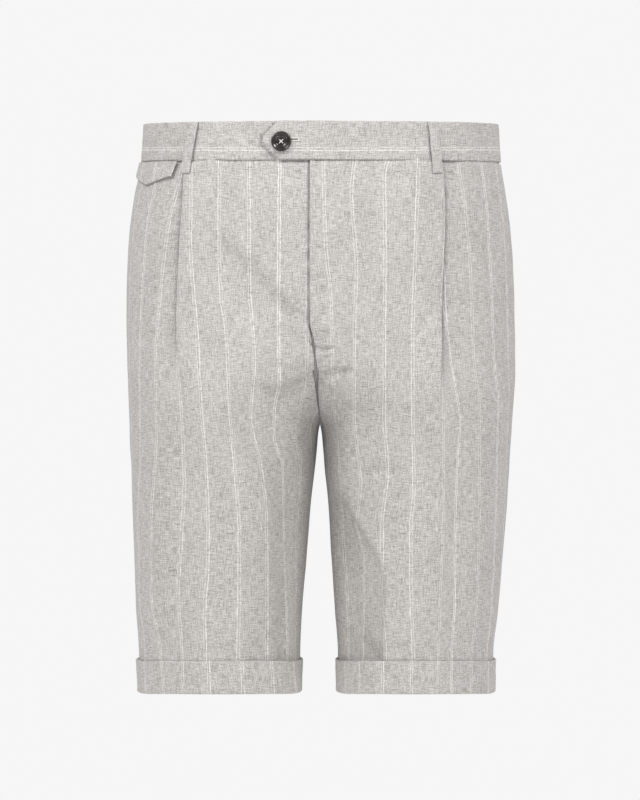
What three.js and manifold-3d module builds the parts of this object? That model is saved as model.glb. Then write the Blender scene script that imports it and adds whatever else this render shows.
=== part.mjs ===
// Pleated bermuda shorts with turn-ups, standing open as they are when worn.
//
// Frame: millimetres, +Z up, the front faces -Y, the wearer's right is -X. The origin is the
// middle of the waist opening, at half the waistband's height at the sides. All cloth hangs
// from there. Each leg is a stack of rounded rings. Above the crotch both stacks are cut at
// the middle seam, so the front and back rise curves come from the rings themselves.
//
// A place on the cloth is (z, s, q): the ring's nominal height, the way round the ring from
// the inseam over the front, and the distance out from the ring.

import * as THREE from 'three';
import { mergeVertices } from 'three/addons/utils/BufferGeometryUtils.js';
import Module from 'manifold-3d';

const wasm = await Module();
wasm.setup();

// Driving sizes

const CLOTH = 1.0; // wall of one layer of linen
const SEAM_GAP = 0.3; // between neighbouring pieces
const LAP_GAP = 0.4; // between two layers that lie on each other
const ROUNDNESS = 2.2; // exponent of the rings: 2 is an ellipse, more is boxier

const WAISTBAND_HEIGHT = 35;
const WAISTBAND_CLOTH = 2.2; // two layers and a stiffener
const WAIST_TOP = WAISTBAND_HEIGHT / 2;
const WAIST_SEAM = -WAISTBAND_HEIGHT / 2;
const FRONT_DIP = 3.6; // the waist hangs lower at the front
const BACK_RISE = 7; // and higher at the back
const TILT_ENDS = -200; // height where the tilt has died out

const HEM = -501;
const CUFF_HEIGHT = 30;
const CUFF_CLOTH = 1.6; // the turn-up is two layers
const CROTCH = -259;

const FLY_END = -183;
const FLY_LAP = 8; // how far the right front runs under the left
const FLY_FADE = 12; // over this height the lap ends, and below it the lift
const SIDE_SEAM_BACK = 6; // the side seam lies this far behind the widest point

const TAB_TIP = 51; // the waistband's tab, from the middle to its point
const TAB_CORNER = 36.8;
const TAB_TIP_HEIGHT = 6;
const TAB_LIFT_FROM = 16; // it starts to rise over the other end of the waistband here

const BUTTON = { radius: 9, thickness: 3, rim: 1.6, dish: 0.9, hole: 1, holeApart: 1.6 };
const BUTTON_AT = { x: -34.3, z: -1.6 };

// The garment's sections. outer is the side edge and inner the crotch side edge of each half,
// both from the middle. Above the crotch the ring runs past the middle, so inner is negative.

const SECTION_COLUMNS = ['z', 'outerRight', 'outerLeft', 'innerRight', 'innerLeft', 'front', 'back'];
const SECTIONS = [
  [18, 162.5, 164.3, -162.5, -164.3, 110, 113],
  [-18, 164.6, 166.4, -164.6, -166.4, 113, 118],
  [-48, 170.4, 170.8, -170.4, -170.8, 117.5, 125],
  [-78, 174.8, 174.8, -174.8, -174.8, 120, 132],
  [-110, 177, 177.2, -175.5, -176, 121.5, 138.5],
  [-144, 177.8, 178.6, -166, -167, 122, 142],
  [-168, 177.7, 179, -138, -139, 121.5, 141],
  [-190, 177.3, 179.2, -99, -100, 120, 137],
  [-212, 176.8, 179.2, -58, -59, 118.5, 130.5],
  [-228, 176.2, 178.5, -32, -32.5, 116.8, 125],
  [-240, 175.7, 177.7, -15.5, -15.5, 115.2, 121],
  [-250, 175.4, 176.9, -5.2, -5.2, 113.7, 118],
  [-256, 175.1, 176.4, -1.3, -1.3, 112.7, 116.2],
  [-259, 175, 176.2, 0.2, 0.2, 112.2, 115.3],
  [-265, 174.8, 175.9, 1.6, 1.6, 111.2, 113.7],
  [-272, 174.6, 175.4, 2.5, 2.5, 110, 112],
  [-300, 173.2, 173.8, 4.8, 4.6, 106.3, 107],
  [-330, 172.6, 171.8, 8.2, 7.4, 102.6, 103],
  [-387, 170.2, 167.2, 12.9, 11, 96, 97],
  [-430, 168.8, 163.6, 16.4, 13.8, 90.5, 93],
  [-468, 166.6, 159.6, 18.2, 16.4, 86, 90],
  [-501, 166, 159.4, 18.4, 16.6, 84, 89],
].map((row) => Object.fromEntries(SECTION_COLUMNS.map((name, i) => [name, row[i]])));

// Heights of the mesh rows, closer together where the rise curves round under the body
const PANEL_ROWS = [
  WAIST_SEAM - SEAM_GAP, -40, -66, -95, -125, -152, -172, -190, -206, -221, -233, -242.5, -250,
  -255, -257.6, -259.4, -264, -278, -302, -335, -370, -405, -440, -470, HEM + CUFF_CLOTH + SEAM_GAP,
];

// The one pleat of each front, and the pressed crease below it. at is how far the fold's edge
// is from the middle, depth the cloth folded under, turn and radius the bends of the fold:
// 180 degrees is shut, and small turns with wide radii are the crease.

const PLEAT_COLUMNS = ['z', 'atRight', 'atLeft', 'depth', 'turn', 'radius'];
const PLEATS = [
  [-18, 122, 110.5, 18, 180, 0.7],
  [-60, 124.5, 112.5, 15, 180, 0.7],
  [-100, 127, 111.5, 11.5, 180, 0.7],
  [-140, 128.5, 109.5, 7.5, 180, 0.7],
  [-165, 129, 109, 4.5, 178, 0.7],
  [-182, 128.5, 109, 2.6, 140, 0.9],
  [-200, 126.5, 109, 2, 75, 1.6],
  [-225, 122.5, 108.8, 2, 30, 4],
  [-260, 119, 109, 2, 16, 8],
  [-330, 117, 109.4, 2, 12, 12],
  [-420, 119.5, 106.5, 2, 10, 12],
  [-501, 122.5, 103.5, 2, 4, 12],
].map((row) => Object.fromEntries(PLEAT_COLUMNS.map((name, i) => [name, row[i]])));
const PLEAT_RAMP = 26; // width over which the cloth settles back on each side of the fold
const PLEAT_PROUD = 0.4; // the share of the fold's thickness that stands proud

// The largest folds of the drape: soft troughs along a line seen from the front or the back.
// Each has its line as [x, z] points, its depth and its half width.

const FRONT_FOLDS = [
  { line: [[-86, -92], [-52, -124], [-20, -164]], depth: 2.4, width: 15 },
  { line: [[-40, -172], [-17, -195]], depth: 1.8, width: 10 },
  { line: [[-50, -220], [-24, -238]], depth: 2.6, width: 15 },
  { line: [[24, -34], [6, -74]], depth: 1.2, width: 10 },
  { line: [[30, -206], [48, -250]], depth: 0.9, width: 14 },
  { line: [[-36, -312], [-29, -390], [-26, -452]], depth: 3.4, width: 12 },
  { line: [[14, -322], [33, -362], [48, -392], [50, -450]], depth: 3.8, width: 12 },
  { line: [[20, -296], [46, -300]], depth: 1, width: 10 },
];
const BACK_FOLDS = [
  { line: [[-18, -222], [-62, -262], [-110, -282]], depth: 3, width: 17 },
  { line: [[20, -226], [70, -268], [116, -286]], depth: 3, width: 17 },
  { line: [[-24, -286], [-66, -314]], depth: 2, width: 14 },
  { line: [[22, -292], [60, -318]], depth: 2, width: 14 },
  { line: [[-98, -322], [-92, -450]], depth: 2.2, width: 16 },
  { line: [[84, -330], [92, -446]], depth: 2.2, width: 16 },
];

// The middle seam of the front wanders to the wearer's right, with the fly's edge. Below the
// fly the cloth beside it is drawn along, so that both fronts still meet there.
const DRIFT = { from: -110, full: -180, width: 45 };
const FRONT_SEAM = [[18, -9], [-100, -9], [-165, -8.6], [-183, -6.4], [-206, -4.2], [-236, -3], [-253, -0.8], [-259, 0]];

// Belt loops: x at the top and bottom edge, seen from the front or the back
const LOOP = { width: 10, cloth: 1.4, seat: 0.55, stand: 2.6, below: 12 };
const LOOPS = [
  { name: 'belt_loop_front_right', side: -1, face: 'front', top: -113, bottom: -120.5 },
  { name: 'belt_loop_front_left', side: 1, face: 'front', top: 101, bottom: 105 },
  { name: 'belt_loop_back_right', side: -1, face: 'back', top: -112, bottom: -112 },
  { name: 'belt_loop_back_left', side: 1, face: 'back', top: 112, bottom: 112 },
  { name: 'belt_loop_centre_back', side: 1, face: 'back', top: 0, bottom: 0 },
];

// The pointed flap of the coin pocket, on the wearer's right: it hangs from the waist seam
const FLAP = { from: 128.5, width: 82, point: 24, sides: 14, taper: 6, cloth: 1.2, stand: 0.6 };

const LINEN = new THREE.Color(0xc9c5c0);
const HORN = new THREE.Color(0x2b2624);

const RIGHT = -1;
const LEFT = 1;

// Curves

const lerp = (a, b, t) => a + (b - a) * t;
const clamp01 = (t) => Math.min(1, Math.max(0, t));
const smooth = (t) => {
  const c = clamp01(t);
  return c * c * (3 - 2 * c);
};

// A smooth curve through (x, y) points that doesn't overshoot them; x may rise or fall
function curveThrough(points) {
  const list = [...points].sort((a, b) => a[0] - b[0]);
  const rise = list.slice(1).map(([x, y], i) => (y - list[i][1]) / (x - list[i][0]));
  const slopes = list.map((_, i) => {
    if (i === 0) return rise[0];
    if (i === list.length - 1) return rise[i - 1];
    const [before, after] = [rise[i - 1], rise[i]];
    return before * after <= 0 ? 0 : (2 * before * after) / (before + after);
  });
  return (x) => {
    if (x <= list[0][0]) return list[0][1];
    if (x >= list[list.length - 1][0]) return list[list.length - 1][1];
    const i = list.findIndex((p) => p[0] >= x) - 1;
    const [x0, y0] = list[i];
    const [x1, y1] = list[i + 1];
    const w = x1 - x0;
    const t = (x - x0) / w;
    const [t2, t3] = [t * t, t * t * t];
    return (
      (2 * t3 - 3 * t2 + 1) * y0 + (t3 - 2 * t2 + t) * w * slopes[i]
      + (3 * t2 - 2 * t3) * y1 + (t3 - t2) * w * slopes[i + 1]
    );
  };
}

const columnOf = (table, name) => curveThrough(table.map((row) => [row.z, row[name]]));
const OUTER = { [RIGHT]: columnOf(SECTIONS, 'outerRight'), [LEFT]: columnOf(SECTIONS, 'outerLeft') };
const INNER = { [RIGHT]: columnOf(SECTIONS, 'innerRight'), [LEFT]: columnOf(SECTIONS, 'innerLeft') };
const FRONT = columnOf(SECTIONS, 'front');
const BACK = columnOf(SECTIONS, 'back');
const PLEAT_AT = { [RIGHT]: columnOf(PLEATS, 'atRight'), [LEFT]: columnOf(PLEATS, 'atLeft') };
const PLEAT_DEPTH = columnOf(PLEATS, 'depth');
const PLEAT_TURN = columnOf(PLEATS, 'turn');
const PLEAT_RADIUS = columnOf(PLEATS, 'radius');
const frontSeam = curveThrough(FRONT_SEAM);
const frontDrift = (z) => frontSeam(z) * smooth((DRIFT.from - z) / (DRIFT.from - DRIFT.full));

// Rings

const RING_STEPS = 360;
const power = (v) => Math.sign(v) * Math.abs(v) ** (2 / ROUNDNESS);

// A point of a ring by angle: 0 is the inseam, half a turn the side, going round by the front
function ringPoint(side, z, angle) {
  const centre = (OUTER[side](z) + INNER[side](z)) / 2;
  const halfWidth = (OUTER[side](z) - INNER[side](z)) / 2;
  const out = power(Math.sin(angle));
  const y = out > 0 ? -FRONT(z) * out : -BACK(z) * out;
  const x = side * (centre - halfWidth * power(Math.cos(angle)));
  const drawn = out > 0 ? frontDrift(z) * out * Math.exp(-((x / DRIFT.width) ** 2)) : 0;
  const tilt = y < 0 ? (FRONT_DIP * y) / FRONT(WAIST_SEAM) : (BACK_RISE * y) / BACK(WAIST_SEAM);
  return new THREE.Vector3(x + drawn, y, z + tilt * smooth((z - TILT_ENDS) / (WAIST_SEAM - TILT_ENDS)));
}

const rings = new Map();
function ring(side, z) {
  const key = `${side} ${z}`;
  if (!rings.has(key)) {
    const points = [];
    const lengths = [0];
    for (let i = 0; i <= RING_STEPS; i += 1) {
      points.push(ringPoint(side, z, (i / RING_STEPS) * 2 * Math.PI));
      if (i > 0) lengths.push(lengths[i - 1] + points[i].distanceTo(points[i - 1]));
    }
    rings.set(key, { points, lengths, total: lengths[RING_STEPS] });
  }
  return rings.get(key);
}

// The angle at a way s round the ring, and the way at an angle
function angleAt(side, z, s) {
  const { lengths, total } = ring(side, z);
  const way = Math.min(total, Math.max(0, s));
  let i = lengths.findIndex((l) => l >= way);
  i = Math.max(1, i);
  return ((i - 1 + (way - lengths[i - 1]) / (lengths[i] - lengths[i - 1])) / RING_STEPS) * 2 * Math.PI;
}
function wayAt(side, z, angle) {
  const { lengths } = ring(side, z);
  const at = (angle / (2 * Math.PI)) * RING_STEPS;
  const i = Math.min(RING_STEPS - 1, Math.floor(at));
  return lerp(lengths[i], lengths[i + 1], at - i);
}

// The way round the ring to the place x on its front or its back, before the cloth is drawn
function wayAtX(side, z, x, face) {
  const centre = (OUTER[side](z) + INNER[side](z)) / 2;
  const halfWidth = (OUTER[side](z) - INNER[side](z)) / 2;
  const share = Math.min(1, Math.max(-1, (centre - side * x) / halfWidth));
  const angle = Math.acos(Math.sign(share) * Math.abs(share) ** (ROUNDNESS / 2));
  return wayAt(side, z, face === 'front' ? angle : 2 * Math.PI - angle);
}
const sideWay = (side, z) => wayAt(side, z, Math.PI);

// The place (z, s, q) in space
function place(side, z, s, q) {
  const angle = angleAt(side, z, s);
  const step = 0.01;
  const along = ringPoint(side, z, angle + step).sub(ringPoint(side, z, angle - step));
  const up = ringPoint(side, z + 0.5, angle).sub(ringPoint(side, z - 0.5, angle));
  const out = along.cross(up).normalize().multiplyScalar(side);
  return ringPoint(side, z, angle).addScaledVector(out, q);
}

// Folds

function depthOfFold({ line, depth, width }, x, z) {
  let nearest = Infinity;
  for (let i = 1; i < line.length; i += 1) {
    const [x0, z0] = line[i - 1];
    const [dx, dz] = [line[i][0] - x0, line[i][1] - z0];
    const t = clamp01(((x - x0) * dx + (z - z0) * dz) / (dx * dx + dz * dz));
    nearest = Math.min(nearest, Math.hypot(x - x0 - t * dx, z - z0 - t * dz));
  }
  return depth * Math.exp(-((nearest / width) ** 2));
}
function foldAt(side, z, s, face) {
  const { x } = ringPoint(side, z, angleAt(side, z, s));
  const folds = face === 'front' ? FRONT_FOLDS : BACK_FOLDS;
  return -folds.reduce((sum, fold) => sum + depthOfFold(fold, x, z), 0);
}

// A row of a panel is a path of { s, q } through the middle of its cloth

function evenly(from, to, count) {
  return Array.from({ length: count }, (_, i) => lerp(from, to, i / count));
}

// The pleat: over the fold's edge, back underneath and out again
function pleatPath(side, z) {
  const edge = wayAtX(side, z, side * PLEAT_AT[side](z), 'front');
  const turn = THREE.MathUtils.degToRad(PLEAT_TURN(z));
  const radius = PLEAT_RADIUS(z);
  const under = PLEAT_DEPTH(z);
  const drop = 2 * radius * (1 - Math.cos(turn)) + under * Math.sin(turn);
  const top = PLEAT_PROUD * drop;
  const reach = radius * Math.sin(Math.min(turn, Math.PI / 2)) + CLOTH / 2;
  const bends = 4;
  const folded = under * Math.max(0, -Math.cos(turn));
  const path = [];
  const start = edge - reach;
  evenly(start - folded - 4 - PLEAT_RAMP, start - folded - 4, 3).forEach((s, i) => {
    path.push({ s, q: top * smooth(i / 3) });
  });
  path.push({ s: start - folded - 4, q: top });
  let at = new THREE.Vector2(start, top);
  let heading = 0;
  const step = (length) => {
    at = at.clone().add(new THREE.Vector2(Math.cos(heading), -Math.sin(heading)).multiplyScalar(length));
    path.push({ s: at.x, q: at.y });
  };
  const bend = (direction) => {
    for (let i = 0; i < bends; i += 1) {
      heading += (direction * turn) / bends / 2;
      step(2 * radius * Math.sin(turn / bends / 2));
      heading += (direction * turn) / bends / 2;
    }
  };
  path.push({ s: at.x, q: at.y });
  bend(1);
  step(under / 2);
  step(under / 2);
  bend(-1);
  const clear = Math.max(edge + 3, at.x + 3);
  path.push({ s: clear, q: at.y });
  const low = at.y;
  for (let i = 1; i <= 3; i += 1) {
    path.push({ s: clear + (PLEAT_RAMP * i) / 3, q: low * (1 - smooth(i / 3)) });
  }
  return path;
}

const onLeg = (z) => z < CROTCH;

function frontPath(side, z) {
  const lap = side === RIGHT ? FLY_LAP * smooth((z - FLY_END - FLY_FADE) / FLY_FADE) : 0;
  const seam = frontSeam(z) - frontDrift(z) + (side * SEAM_GAP) / 2 + lap;
  const start = onLeg(z) ? SEAM_GAP / 2 : wayAtX(side, z, seam, 'front');
  const end = sideWay(side, z) + SIDE_SEAM_BACK - SEAM_GAP / 2;
  const pleat = pleatPath(side, z);
  const path = [
    ...evenly(start, pleat[0].s, 10).map((s) => ({ s, q: 0 })),
    ...pleat,
    ...evenly(end, pleat[pleat.length - 1].s, 7).reverse().map((s) => ({ s, q: 0 })),
  ];
  const lift = (s) => {
    if (side === RIGHT || onLeg(z)) return 0;
    const across = 1 - smooth((s - start - FLY_LAP - 3) / 14);
    return (CLOTH + LAP_GAP) * across * smooth((z - FLY_END) / FLY_FADE);
  };
  return path.map(({ s, q }) => ({ s, q: q - CLOTH / 2 + lift(s) + foldAt(side, z, s, 'front') }));
}

function backPath(side, z) {
  const start = sideWay(side, z) + SIDE_SEAM_BACK + SEAM_GAP / 2;
  const end = onLeg(z)
    ? ring(side, z).total - SEAM_GAP / 2
    : wayAtX(side, z, (side * SEAM_GAP) / 2, 'back');
  return [...evenly(start, end, 19), end].map((s) => ({ s, q: foldAt(side, z, s, 'back') - CLOTH / 2 }));
}

// Both faces of a path: half the cloth to each side, square to the path
function facesOf(path, cloth) {
  return path.map((p, i) => {
    const a = path[Math.max(0, i - 1)];
    const b = path[Math.min(path.length - 1, i + 1)];
    const length = Math.hypot(b.s - a.s, b.q - a.q);
    const [ns, nq] = [-(b.q - a.q) / length, (b.s - a.s) / length];
    const half = cloth / 2;
    return {
      outer: { s: p.s + ns * half, q: p.q + nq * half },
      inner: { s: p.s - ns * half, q: p.q - nq * half },
    };
  });
}

// Solids

function solidFrom(points, triangles) {
  let volume = 0;
  for (const [a, b, c] of triangles) {
    volume += points[a].dot(points[b].clone().cross(points[c]));
  }
  const index = volume > 0 ? triangles.flat() : triangles.flatMap(([a, b, c]) => [a, c, b]);
  const geometry = new THREE.BufferGeometry().setFromPoints(points);
  geometry.setIndex(index);
  return geometry;
}

// A wall from two grids of points, [row][column], closed round its rim
function wall(outer, inner) {
  const rows = outer.length;
  const columns = outer[0].length;
  const points = [...outer.flat(), ...inner.flat()];
  const at = (layer, r, c) => (layer * rows + r) * columns + c;
  const triangles = [];
  const quad = (a, b, c, d) => triangles.push([a, b, c], [a, c, d]);
  for (let r = 0; r + 1 < rows; r += 1) {
    for (let c = 0; c + 1 < columns; c += 1) {
      quad(at(0, r, c), at(0, r, c + 1), at(0, r + 1, c + 1), at(0, r + 1, c));
      quad(at(1, r, c), at(1, r + 1, c), at(1, r + 1, c + 1), at(1, r, c + 1));
    }
    quad(at(0, r, 0), at(0, r + 1, 0), at(1, r + 1, 0), at(1, r, 0));
    const last = columns - 1;
    quad(at(0, r, last), at(1, r, last), at(1, r + 1, last), at(0, r + 1, last));
  }
  for (let c = 0; c + 1 < columns; c += 1) {
    quad(at(0, 0, c), at(1, 0, c), at(1, 0, c + 1), at(0, 0, c + 1));
    const last = rows - 1;
    quad(at(0, last, c), at(0, last, c + 1), at(1, last, c + 1), at(1, last, c));
  }
  return solidFrom(points, triangles);
}

function panel(side, pathOf) {
  const rows = PANEL_ROWS.map((z) => facesOf(pathOf(side, z), CLOTH).map(({ outer, inner }) => ({
    outer: place(side, z, outer.s, outer.q),
    inner: place(side, z, inner.s, inner.q),
  })));
  return wall(rows.map((row) => row.map((p) => p.outer)), rows.map((row) => row.map((p) => p.inner)));
}

// The waistband: columns of { s, low, high, lift } round the waist, four points high
function waistbandWall(side, columns) {
  const heights = [0, 1 / 3, 2 / 3, 1];
  const face = (q) => heights.map((h) => columns.map(({ s, low, high, lift }) => {
    const z = lerp(low, high, h);
    return place(side, z, s(z), q + lift);
  }));
  return wall(face(0), face(-WAISTBAND_CLOTH));
}

// How far the left end stands over the right end: 0 round the side, full past the middle
const tabLift = (x) => (WAISTBAND_CLOTH + SEAM_GAP) * (1 - smooth((x - 2) / (TAB_LIFT_FROM - 2)));

function waistband(side) {
  const backEnd = (z) => wayAtX(side, z, (side * SEAM_GAP) / 2, 'back');
  const columns = [];
  const add = (s, reach = 1, lift = 0) => {
    const half = (WAISTBAND_HEIGHT / 2) * reach;
    columns.push({ s, low: -half, high: half, lift });
  };
  const frontX = side === RIGHT ? [-1] : [];
  if (side === LEFT) {
    const tipShare = TAB_TIP_HEIGHT / WAISTBAND_HEIGHT;
    for (const t of [0, 0.12, 0.5, 1]) {
      const rounded = t === 0 ? tipShare * 0.5 : lerp(tipShare, 1, t);
      add((z) => wayAtX(side, z, -lerp(TAB_TIP, TAB_CORNER, t), 'front'), rounded, tabLift(-TAB_CORNER));
    }
    frontX.push(-25, -12, 0, 4, 8, 12, 16);
  }
  for (const x of frontX) add((z) => wayAtX(side, z, x, 'front'), 1, side === LEFT ? tabLift(x) : 0);
  const from = frontX[frontX.length - 1];
  const steps = 34;
  for (let i = 1; i <= steps; i += 1) {
    add((z) => lerp(wayAtX(side, z, from, 'front'), backEnd(z), i / steps));
  }
  return waistbandWall(side, columns);
}

// The turn-up: a ring of cloth round the hem, made from the leg's own columns moved out
function cuff(side) {
  const top = HEM + CUFF_HEIGHT;
  const near = LAP_GAP;
  const out = near + CUFF_CLOTH;
  const section = [
    [near, top - 0.4], [near + CUFF_CLOTH / 2, top], [out, top - 0.6], [out, (top + HEM) / 2],
    [out - 0.2, HEM + 1], [out - 1, HEM], [0.4 - CLOTH, HEM], [-CLOTH, HEM + 0.5],
    [-CLOTH, HEM + CUFF_CLOTH], [near, HEM + CUFF_CLOTH],
  ];
  const rounds = section.map(([q, z]) => {
    const leg = [...frontPath(side, z), ...backPath(side, z)];
    return leg.map((p) => place(side, z, p.s, p.q + CLOTH / 2 + q));
  });
  const steps = rounds[0].length;
  const points = Array.from({ length: steps }, (_, i) => rounds.map((round) => round[i])).flat();
  const triangles = [];
  for (let i = 0; i < steps; i += 1) {
    for (let k = 0; k < section.length; k += 1) {
      const [a, b] = [i * section.length, ((i + 1) % steps) * section.length];
      const next = (k + 1) % section.length;
      triangles.push([a + k, b + k, b + next], [a + k, b + next, a + next]);
    }
  }
  return solidFrom(points, triangles);
}

// A belt loop stands off the waistband in the middle and is sewn down at both ends
function beltLoop({ side, face, top, bottom }) {
  const endZ = WAIST_SEAM - LOOP.below;
  const proud = face === 'front' ? PLEAT_PROUD * 4 * 0.7 : 0;
  const onBand = curveThrough([
    [endZ, LOOP.seat + proud], [WAIST_SEAM - 4, LOOP.seat + proud], [WAIST_SEAM + 3, LOOP.seat + proud + 0.5],
    [-4, LOOP.stand], [6, LOOP.stand], [14, LOOP.seat + 0.5], [WAIST_TOP - 0.4, LOOP.seat],
  ]);
  const heights = [WAIST_TOP - 0.4, 14, 9, 3, -3, -9, WAIST_SEAM + 3, WAIST_SEAM - 4, endZ];
  const grid = (lift) => heights.map((z) => {
    const middle = wayAtX(side, z, lerp(bottom, top, (z - endZ) / (WAIST_TOP - endZ)), face);
    return [-0.5, 0, 0.5].map((t) => place(side, z, middle + t * LOOP.width, onBand(z) + lift));
  });
  return wall(grid(LOOP.cloth), grid(0));
}

// The coin pocket's flap: level at the waist seam, pointed in the middle of its lower edge
function coinPocketFlap() {
  const topZ = WAIST_SEAM - SEAM_GAP * 2;
  const steps = 16;
  const drops = [0, 0.5, 1];
  const grid = (q) => drops.map((drop) => Array.from({ length: steps + 1 }, (_, i) => {
    const t = i / steps;
    const fromMiddle = Math.abs(t - 0.5) * 2;
    const depth = lerp(FLAP.point, FLAP.sides, Math.min(1, fromMiddle * 1.05));
    const z = topZ - depth * drop;
    const narrowing = (0.5 - t) * 2 * FLAP.taper * drop;
    return place(RIGHT, z, wayAtX(RIGHT, z, -FLAP.from, 'front') + t * FLAP.width + narrowing, q);
  }));
  return wall(grid(FLAP.stand + FLAP.cloth), grid(FLAP.stand));
}

// The waist button: a turned horn disc with a rim, a dished middle and four holes
function manifoldOf(geometry) {
  const bare = geometry.index ? geometry.toNonIndexed() : geometry.clone();
  bare.deleteAttribute('normal');
  bare.deleteAttribute('uv');
  const merged = mergeVertices(bare, 1e-4);
  return new wasm.Manifold(new wasm.Mesh({
    numProp: 3,
    vertProperties: merged.attributes.position.array,
    triVerts: new Uint32Array(merged.index.array),
  }));
}
function waistButton() {
  const { radius, thickness, rim, dish, hole, holeApart } = BUTTON;
  const profile = [
    [0, 0], [radius - 2, 0], [radius - 0.4, 0.8], [radius, 1.6], [radius - 0.3, thickness - 0.3],
    [radius - 0.9, thickness], [radius - rim, thickness - 0.3], [radius - rim - 1, thickness - dish],
    [0, thickness - dish - 0.2],
  ].map(([x, y]) => new THREE.Vector2(x, y));
  let solid = manifoldOf(new THREE.LatheGeometry(profile, 32));
  for (const [x, z] of [[1, 1], [1, -1], [-1, 1], [-1, -1]]) {
    const drill = new THREE.CylinderGeometry(hole, hole, thickness * 3, 10);
    drill.translate(x * holeApart, 0, z * holeApart);
    solid = solid.subtract(manifoldOf(drill));
  }
  const made = solid.getMesh();
  const geometry = new THREE.BufferGeometry();
  geometry.setAttribute('position', new THREE.BufferAttribute(new Float32Array(made.vertProperties), 3));
  geometry.setIndex(new THREE.BufferAttribute(new Uint32Array(made.triVerts), 1));
  return geometry;
}

// The object

const garment = new THREE.Group();

function addPiece(name, geometry, color = LINEN, roughness = 0.9) {
  const material = new THREE.MeshStandardMaterial({ color, roughness, metalness: 0 });
  const piece = new THREE.Mesh(geometry, material);
  piece.name = name;
  garment.add(piece);
  return piece;
}

for (const [side, word] of [[RIGHT, 'right'], [LEFT, 'left']]) {
  addPiece(`front_${word}`, panel(side, frontPath));
  addPiece(`back_${word}`, panel(side, backPath));
  addPiece(`waistband_${word}`, waistband(side));
  addPiece(`cuff_${word}`, cuff(side));
}
for (const loop of LOOPS) addPiece(loop.name, beltLoop(loop));
addPiece('coin_pocket_flap', coinPocketFlap());

const button = addPiece('waist_button', waistButton(), HORN, 0.35);
const buttonWay = wayAtX(LEFT, BUTTON_AT.z, BUTTON_AT.x, 'front');
const tabFace = tabLift(BUTTON_AT.x);
const seat = place(LEFT, BUTTON_AT.z, buttonWay, tabFace + SEAM_GAP);
const outward = place(LEFT, BUTTON_AT.z, buttonWay, tabFace + SEAM_GAP + 1).sub(seat);
button.position.copy(seat);
button.quaternion.setFromUnitVectors(new THREE.Vector3(0, 1, 0), outward.normalize());

export default garment;
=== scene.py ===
# %% [markdown]
# # Pleated linen bermuda shorts
#
# The shorts stand open, as they do when they are worn. A tailor cuts flat pieces and sews them
# into tubes, so this lesson does the same: each piece is a thin sheet with its own flat
# coordinates, bent round the figure row by row. We never model "a block and some texture".
#
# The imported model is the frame. It says how big everything is and where it goes, and each
# sheet made here lies on the solid that it stands for.

# %% Load the frame
import math

import bpy
import numpy as np
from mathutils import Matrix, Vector, noise


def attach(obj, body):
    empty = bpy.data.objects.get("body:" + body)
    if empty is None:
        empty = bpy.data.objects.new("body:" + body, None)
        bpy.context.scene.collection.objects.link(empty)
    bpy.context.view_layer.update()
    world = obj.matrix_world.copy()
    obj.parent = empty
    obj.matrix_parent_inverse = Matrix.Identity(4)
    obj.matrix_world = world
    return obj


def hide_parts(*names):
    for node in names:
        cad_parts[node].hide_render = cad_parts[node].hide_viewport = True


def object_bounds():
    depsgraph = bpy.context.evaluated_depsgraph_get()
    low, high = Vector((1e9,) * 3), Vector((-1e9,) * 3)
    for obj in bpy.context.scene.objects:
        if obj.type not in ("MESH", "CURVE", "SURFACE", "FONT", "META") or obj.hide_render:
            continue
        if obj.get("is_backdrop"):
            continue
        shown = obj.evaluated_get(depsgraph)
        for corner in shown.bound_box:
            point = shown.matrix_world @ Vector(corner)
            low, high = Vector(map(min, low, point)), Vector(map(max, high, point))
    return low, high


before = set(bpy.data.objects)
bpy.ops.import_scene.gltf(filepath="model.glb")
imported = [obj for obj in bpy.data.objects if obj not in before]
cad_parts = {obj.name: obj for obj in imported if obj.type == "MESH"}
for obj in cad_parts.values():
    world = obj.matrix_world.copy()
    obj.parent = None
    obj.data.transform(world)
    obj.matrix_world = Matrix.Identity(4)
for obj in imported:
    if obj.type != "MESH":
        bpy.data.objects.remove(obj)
CAD_BOX = [list(corner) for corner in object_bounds()]
BODY = "root"
print("nodes:", ", ".join(sorted(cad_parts)))

# %% [markdown]
# ## The camera and the light first
#
# The picture was taken from far away with a long lens, straight at the middle of the shorts:
# left and right edges show no inside, and the rows are almost level. A short lens would show
# the side seams much less. The camera is made first, before the pieces it looks at.

# %% Camera
CAMERA_DISTANCE = 4.0
CAMERA_HEIGHT = -0.236
VIEW_HEIGHT = 0.736  # what the frame takes in at the middle of the shorts
SENSOR = 36.0


def aim_camera():
    data = bpy.data.cameras.new("camera")
    data.sensor_width = SENSOR
    data.lens = SENSOR * CAMERA_DISTANCE / VIEW_HEIGHT
    data.clip_end = 100
    camera = bpy.data.objects.new("camera", data)
    camera.location = (0, -CAMERA_DISTANCE, CAMERA_HEIGHT)
    camera.rotation_euler = (math.radians(90), 0, 0)
    bpy.context.collection.objects.link(camera)
    bpy.context.scene.camera = camera
    return camera


camera = aim_camera()
bpy.context.scene.view_settings.view_transform = "Standard"
print("lens", round(camera.data.lens, 1), "mm")

# %% [markdown]
# ## Colours and nodes
#
# A colour picked from a picture is an sRGB value, but shaders add up light, which is linear.
# One function makes that change, and a second one adds a node with its settings and links, so
# that each material below reads like a recipe. A tailor measures in millimetres and Blender in
# metres, so one more function makes every mesh, and only there are the sizes divided.


# %% Helpers for materials and meshes
def linear(code):
    """An sRGB hex colour, such as "c9c5c0", as linear (r, g, b, 1)."""
    parts = [int(code[i : i + 2], 16) / 255 for i in (0, 2, 4)]
    return (*[p / 12.92 if p <= 0.04045 else ((p + 0.055) / 1.055) ** 2.4 for p in parts], 1.0)


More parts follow.
